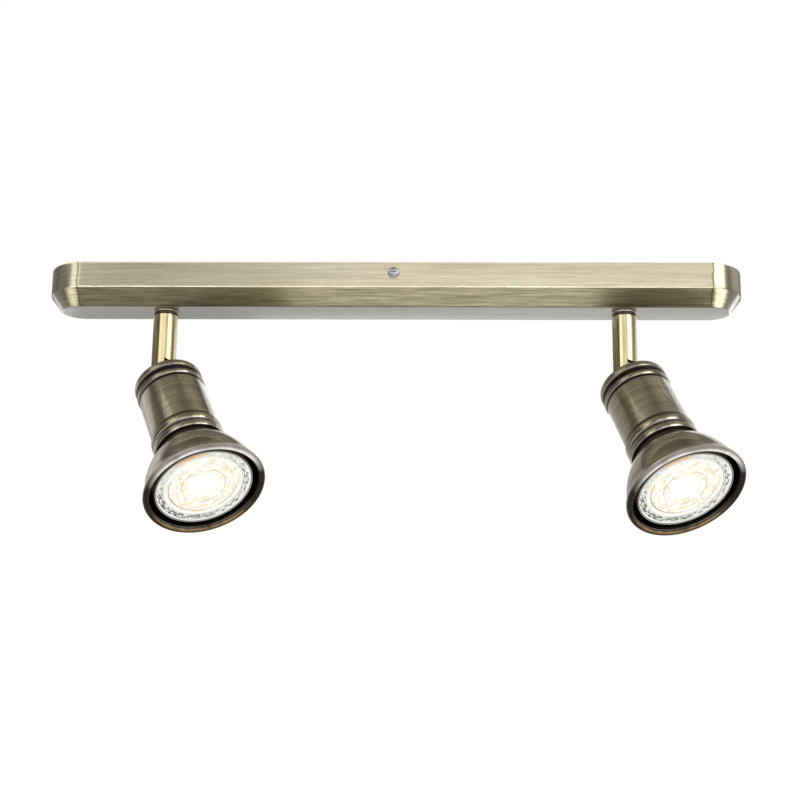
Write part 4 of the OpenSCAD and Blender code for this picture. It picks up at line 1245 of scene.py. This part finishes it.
# %% [markdown]
# The barrel of a head is turned from the solid: two beads behind, two beads in front, and a plain band
# between them. A bead is a half circle between two levels, with a fine groove beside it.

# %% Barrel of a head
barrel_radius = 17.35
barrel_bore = 16.2
rear_level = foot_level - foot_thickness
rear_wall = 1.5
neck_height = 25.4
neck_level = face_level + neck_height
stud_hole = (stud_radius + 0.05, -14, -8)
sleeve_hole = (2.4, -14, -8)
sleeve_spot = (6.5, 6.0)


def bead(top, bottom, radius, rise, steps=14):
    middle, half = (top + bottom) / 2, (top - bottom) / 2
    turns = [math.pi * i / steps for i in range(steps + 1)]
    return [(radius + rise * math.sin(a), middle + half * math.cos(a)) for a in turns]


def barrel_outline():
    profile = [
        *arc((barrel_radius - 1.9, 73.3), 2.4, 70, -12, 10),
        *arc((barrel_radius - 0.1, 71.9), 0.5, 0, -60, 5), (barrel_radius - 0.45, 71.1),
        *bead(69.6, 65.3, barrel_radius - 0.35, 0.905), (barrel_radius - 0.1, 65.0), (barrel_radius, 64.7),
        *bead(36.5, 31.4, barrel_radius, 1.1), *bead(31.0, neck_height + 0.2, barrel_radius - 0.15, 1.4),
        (barrel_radius - 0.2, neck_height), (barrel_bore, neck_height),
    ]
    inner_rear = rear_level - rear_wall
    return [
        (0, rear_level), (barrel_radius - 2.2, rear_level), *above_face(profile),
        (barrel_bore, inner_rear), (0, inner_rear),
    ]


for side in SIDES:
    turned_piece(
        "head_barrel_turned_" + side, head_place(side), barrel_outline(), "head_barrel_" + side, 0.12, 192,
        cutters=[rod(*stud_hole), rod(*sleeve_hole, shifted(*sleeve_spot))],
    )
print("barrels")

# %% [markdown]
# The bell is spun from sheet. It leaves the barrel in a tight curve, flares in a long one, and ends in a
# lip that is rolled over a wire. Its inside is the same curve, one sheet thickness in.

# %% Bell of a head
lip_radius = 1.6
lip_reach = 2.0
bell_sheet = 0.8
spigot_reach = 7.0
spigot_radius = barrel_bore - 0.05


def bell_curve():
    start, shoulder = barrel_radius - 0.35, barrel_radius + 1.55
    tight = curve(
        (start, neck_level), (start, neck_level - 1.2), (start + 0.6, neck_level - 1.8),
        (shoulder, neck_level - 3), 8,
    )
    flare = curve(
        (shoulder, neck_level - 3), (barrel_radius + 5.05, neck_level - 6.5),
        (lip_middle - 1.4, face_level + 11.5), (lip_middle + 0.4, face_level + 1), 28,
    )
    return tight + flare[1:]


def one_sheet_in(points, sheet):
    moved = []
    for i, p in enumerate(points):
        a, b = points[max(i - 1, 0)], points[min(i + 1, len(points) - 1)]
        way = Vector((b[0] - a[0], b[1] - a[1])).normalized()
        moved.append((p[0] + sheet * way.y, p[1] - sheet * way.x))
    return moved


def bell_outline():
    outside = [p for p in bell_curve() if p[1] > face_level + 1.6]
    inside = [p for p in one_sheet_in(bell_curve(), bell_sheet) if neck_level - 0.6 > p[1] > face_level + 1.6]
    circle = arc((0, 0), 1, 40, -220, 28)
    lip = [(lip_middle + lip_radius * x, lip_level + lip_reach * y) for x, y in circle]
    inner = spigot_radius - bell_sheet
    spigot = [
        (inner, neck_level), (inner, neck_level + spigot_reach),
        (spigot_radius, neck_level + spigot_reach), (spigot_radius, neck_level),
    ]
    return outside + lip + inside[::-1] + spigot


def inside_bell(radius, height):
    """True on the inner side of the sheet, behind the lip, where the bell is painted dark as shade."""
    if height < face_level + 1.2:
        return False
    outer = min(bell_curve(), key=lambda p: abs(p[1] - height))[0]
    return radius < outer - 0.3


for side in SIDES:
    turned_piece(
        "bell_shade_spun_" + side, head_place(side), bell_outline(), "bell_shade_" + side, steps=192,
        is_inside=inside_bell,
    )
print("bells")

# %% [markdown]
# The lamp's body is a glass reflector shape with a ceramic base behind. It is turned like the rest.

# %% Body of a lamp
glass_wall = 1.2
rim_height = 4.5
lamp_floor = 21
base_height = 47
base_radius = (14.2, 13.2)


def lamp_curve():
    return curve(
        (lamp_radius, rim_height), (lamp_radius - 0.8, 13), (base_radius[0] + 2.6, 20.5), (base_radius[0], 25.5), 24
    )


def lamp_outline():
    inside = [p for p in one_sheet_in(lamp_curve(), -glass_wall) if p[1] < lamp_floor - 0.5]
    return above_face([
        (lamp_radius - 0.35, 0), (lamp_radius, 0.35), *lamp_curve(),
        (base_radius[1], 36), (base_radius[1], base_height - 0.6), (base_radius[1] - 0.6, base_height),
        (0, base_height), (0, lamp_floor), (inside[-1][0], lamp_floor), *inside[::-1],
        (lamp_radius - 2.4, 4), (lamp_radius - glass_wall, 4),
        (lamp_radius - glass_wall, 0.35), (lamp_radius - glass_wall + 0.35, 0),
    ])


for side in SIDES:
    turned_piece("lamp_shell_turned_" + side, head_place(side), lamp_outline(), "lamp_shell_" + side, steps=160)

# %% [markdown]
# The lens in front is moulded. Rings stand out of it, and between the outer two rings small prisms run
# round the edge. The prisms are made by moving every second column of points, which turns a smooth ring
# into a row of facets.

# %% Lens of a lamp
lens_radius = lamp_radius - glass_wall - 0.05
prism_columns = 144
prism_depth = 0.35
prism_band = (20.2, 23.2)


def ridge(radius, width, low, height):
    """A rounded ring that stands out of the lens towards the front."""
    return [
        (radius - width, low), (radius - width * 0.6, low - height * 0.8), (radius, low - height),
        (radius + width * 0.6, low - height * 0.8), (radius + width, low),
    ]


def lens_outline():
    front, level = 1.1, 1.4
    outline = [(0, level), (3, front + 0.25), (6, front + 0.1), (9, level)]
    for radius, width, height in ((11.3, 0.6, 0.5), (17.0, 0.45, 0.4)):
        outline += [*ridge(radius, width, level, height), (radius + width + 0.6, level)]
    start, end = prism_band
    outline += [
        (start - 0.7, front), (start, front - 0.3), (start + 1, front - 0.2), (end - 1, front - 0.2),
        (end, front - 0.3), (lens_radius, front - 0.1), (lens_radius, 4), (12, 4), (9.5, 9), (5.5, 15), (0, 16),
    ]
    return above_face(outline)


def lens_mesh():
    bm = turned(lens_outline(), prism_columns)
    for vert in bm.verts:
        radius = math.hypot(vert.co.x, vert.co.y) / MM
        column = round(math.atan2(vert.co.y, vert.co.x) / (2 * math.pi) * prism_columns)
        in_band = prism_band[0] + 0.5 < radius < prism_band[1] - 0.5
        if in_band and vert.co.z < (face_level + 2) * MM and column % 2:
            vert.co.z += prism_depth * MM
    return bm


for side in SIDES:
    lens = as_object(lens_mesh(), "lamp_lens_moulded_" + side)
    lay_turned_maps(lens.data)
    lens.data.transform(head_place(side))
    dress(lens, "lamp_lens_" + side)
print("lamps")

# %% [markdown]
# The wires were built with eight flat sides. One level of subdivision makes them round.

# %% Wires and sleeves


def smooth_copy(node):
    bm = node_copy(node)
    bmesh.ops.join_triangles(
        bm, faces=bm.faces[:], angle_face_threshold=math.radians(50), angle_shape_threshold=math.radians(60),
    )
    bmesh.ops.recalc_face_normals(bm, faces=bm.faces[:])
    obj = as_object(bm, node + "_smooth")
    rounder = obj.modifiers.new("round", "SUBSURF")
    rounder.levels = rounder.render_levels = 1
    return obj


wires = ["earth_lead"] + [f"{name}_{side}" for name in ("bar_leads", "arm_leads", "head_leads") for side in SIDES]
for node in wires:
    dress(smooth_copy(node), node)
print(f"{len(wires)} wires are round")

# %% [markdown]
# A woven sleeve guards the wires where they pass from the arm into the head. It is made round like the wires.

# %% Sleeves
for side in SIDES:
    node = "lead_sleeve_" + side
    sleeve = smooth_copy(node)
    apply_modifiers(sleeve)
    stand_for(sleeve, node)
    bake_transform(sleeve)

# %% [markdown]
# In a photographer's set each part is lit until its edges read. Here many soft boxes light one part alone.
# Eight of them light the cover: they draw the pale lines along its rolled edge and its bend, and brighten
# the slope, its ends and the flat face. One box behind lights everything but the cover. Others, behind and
# beside, give each head a pale strip on both sides, and two small ones draw the thin white lines on the
# beads. The last two light the arms.

# %% Lights of single parts


def light_only(box, *starts):
    group = bpy.data.collections.new(box.name + "_receivers")
    for obj in bpy.context.scene.objects:
        if obj.name.startswith(starts):
            group.objects.link(obj)
    box.light_linking.receiver_collection = group


cover_boxes = ("over", "low", "low_left", "low_right", "foot_left", "foot_right", "under", "flat")
lit_parts = {
    "back": [obj.name for obj in bpy.context.scene.objects if obj.type == "MESH" and obj != cover],
    **{name: ["cover_sheet"] for name in cover_boxes},
    "back_left": ["head_barrel_turned", "bell_shade_spun"],
    "back_right": ["head_barrel_turned", "bell_shade_spun", "arm_tube"],
    "side": ["head_barrel_turned_left", "bell_shade_spun_left"],
    "spark_left": ["head_barrel_turned_left"],
    "spark_right": ["head_barrel_turned_right"],
    "arms": ["arm_tube"],
    "arm_edge": ["arm_tube"],
}
for name, starts in lit_parts.items():
    light_only(soft_boxes[name], *starts)
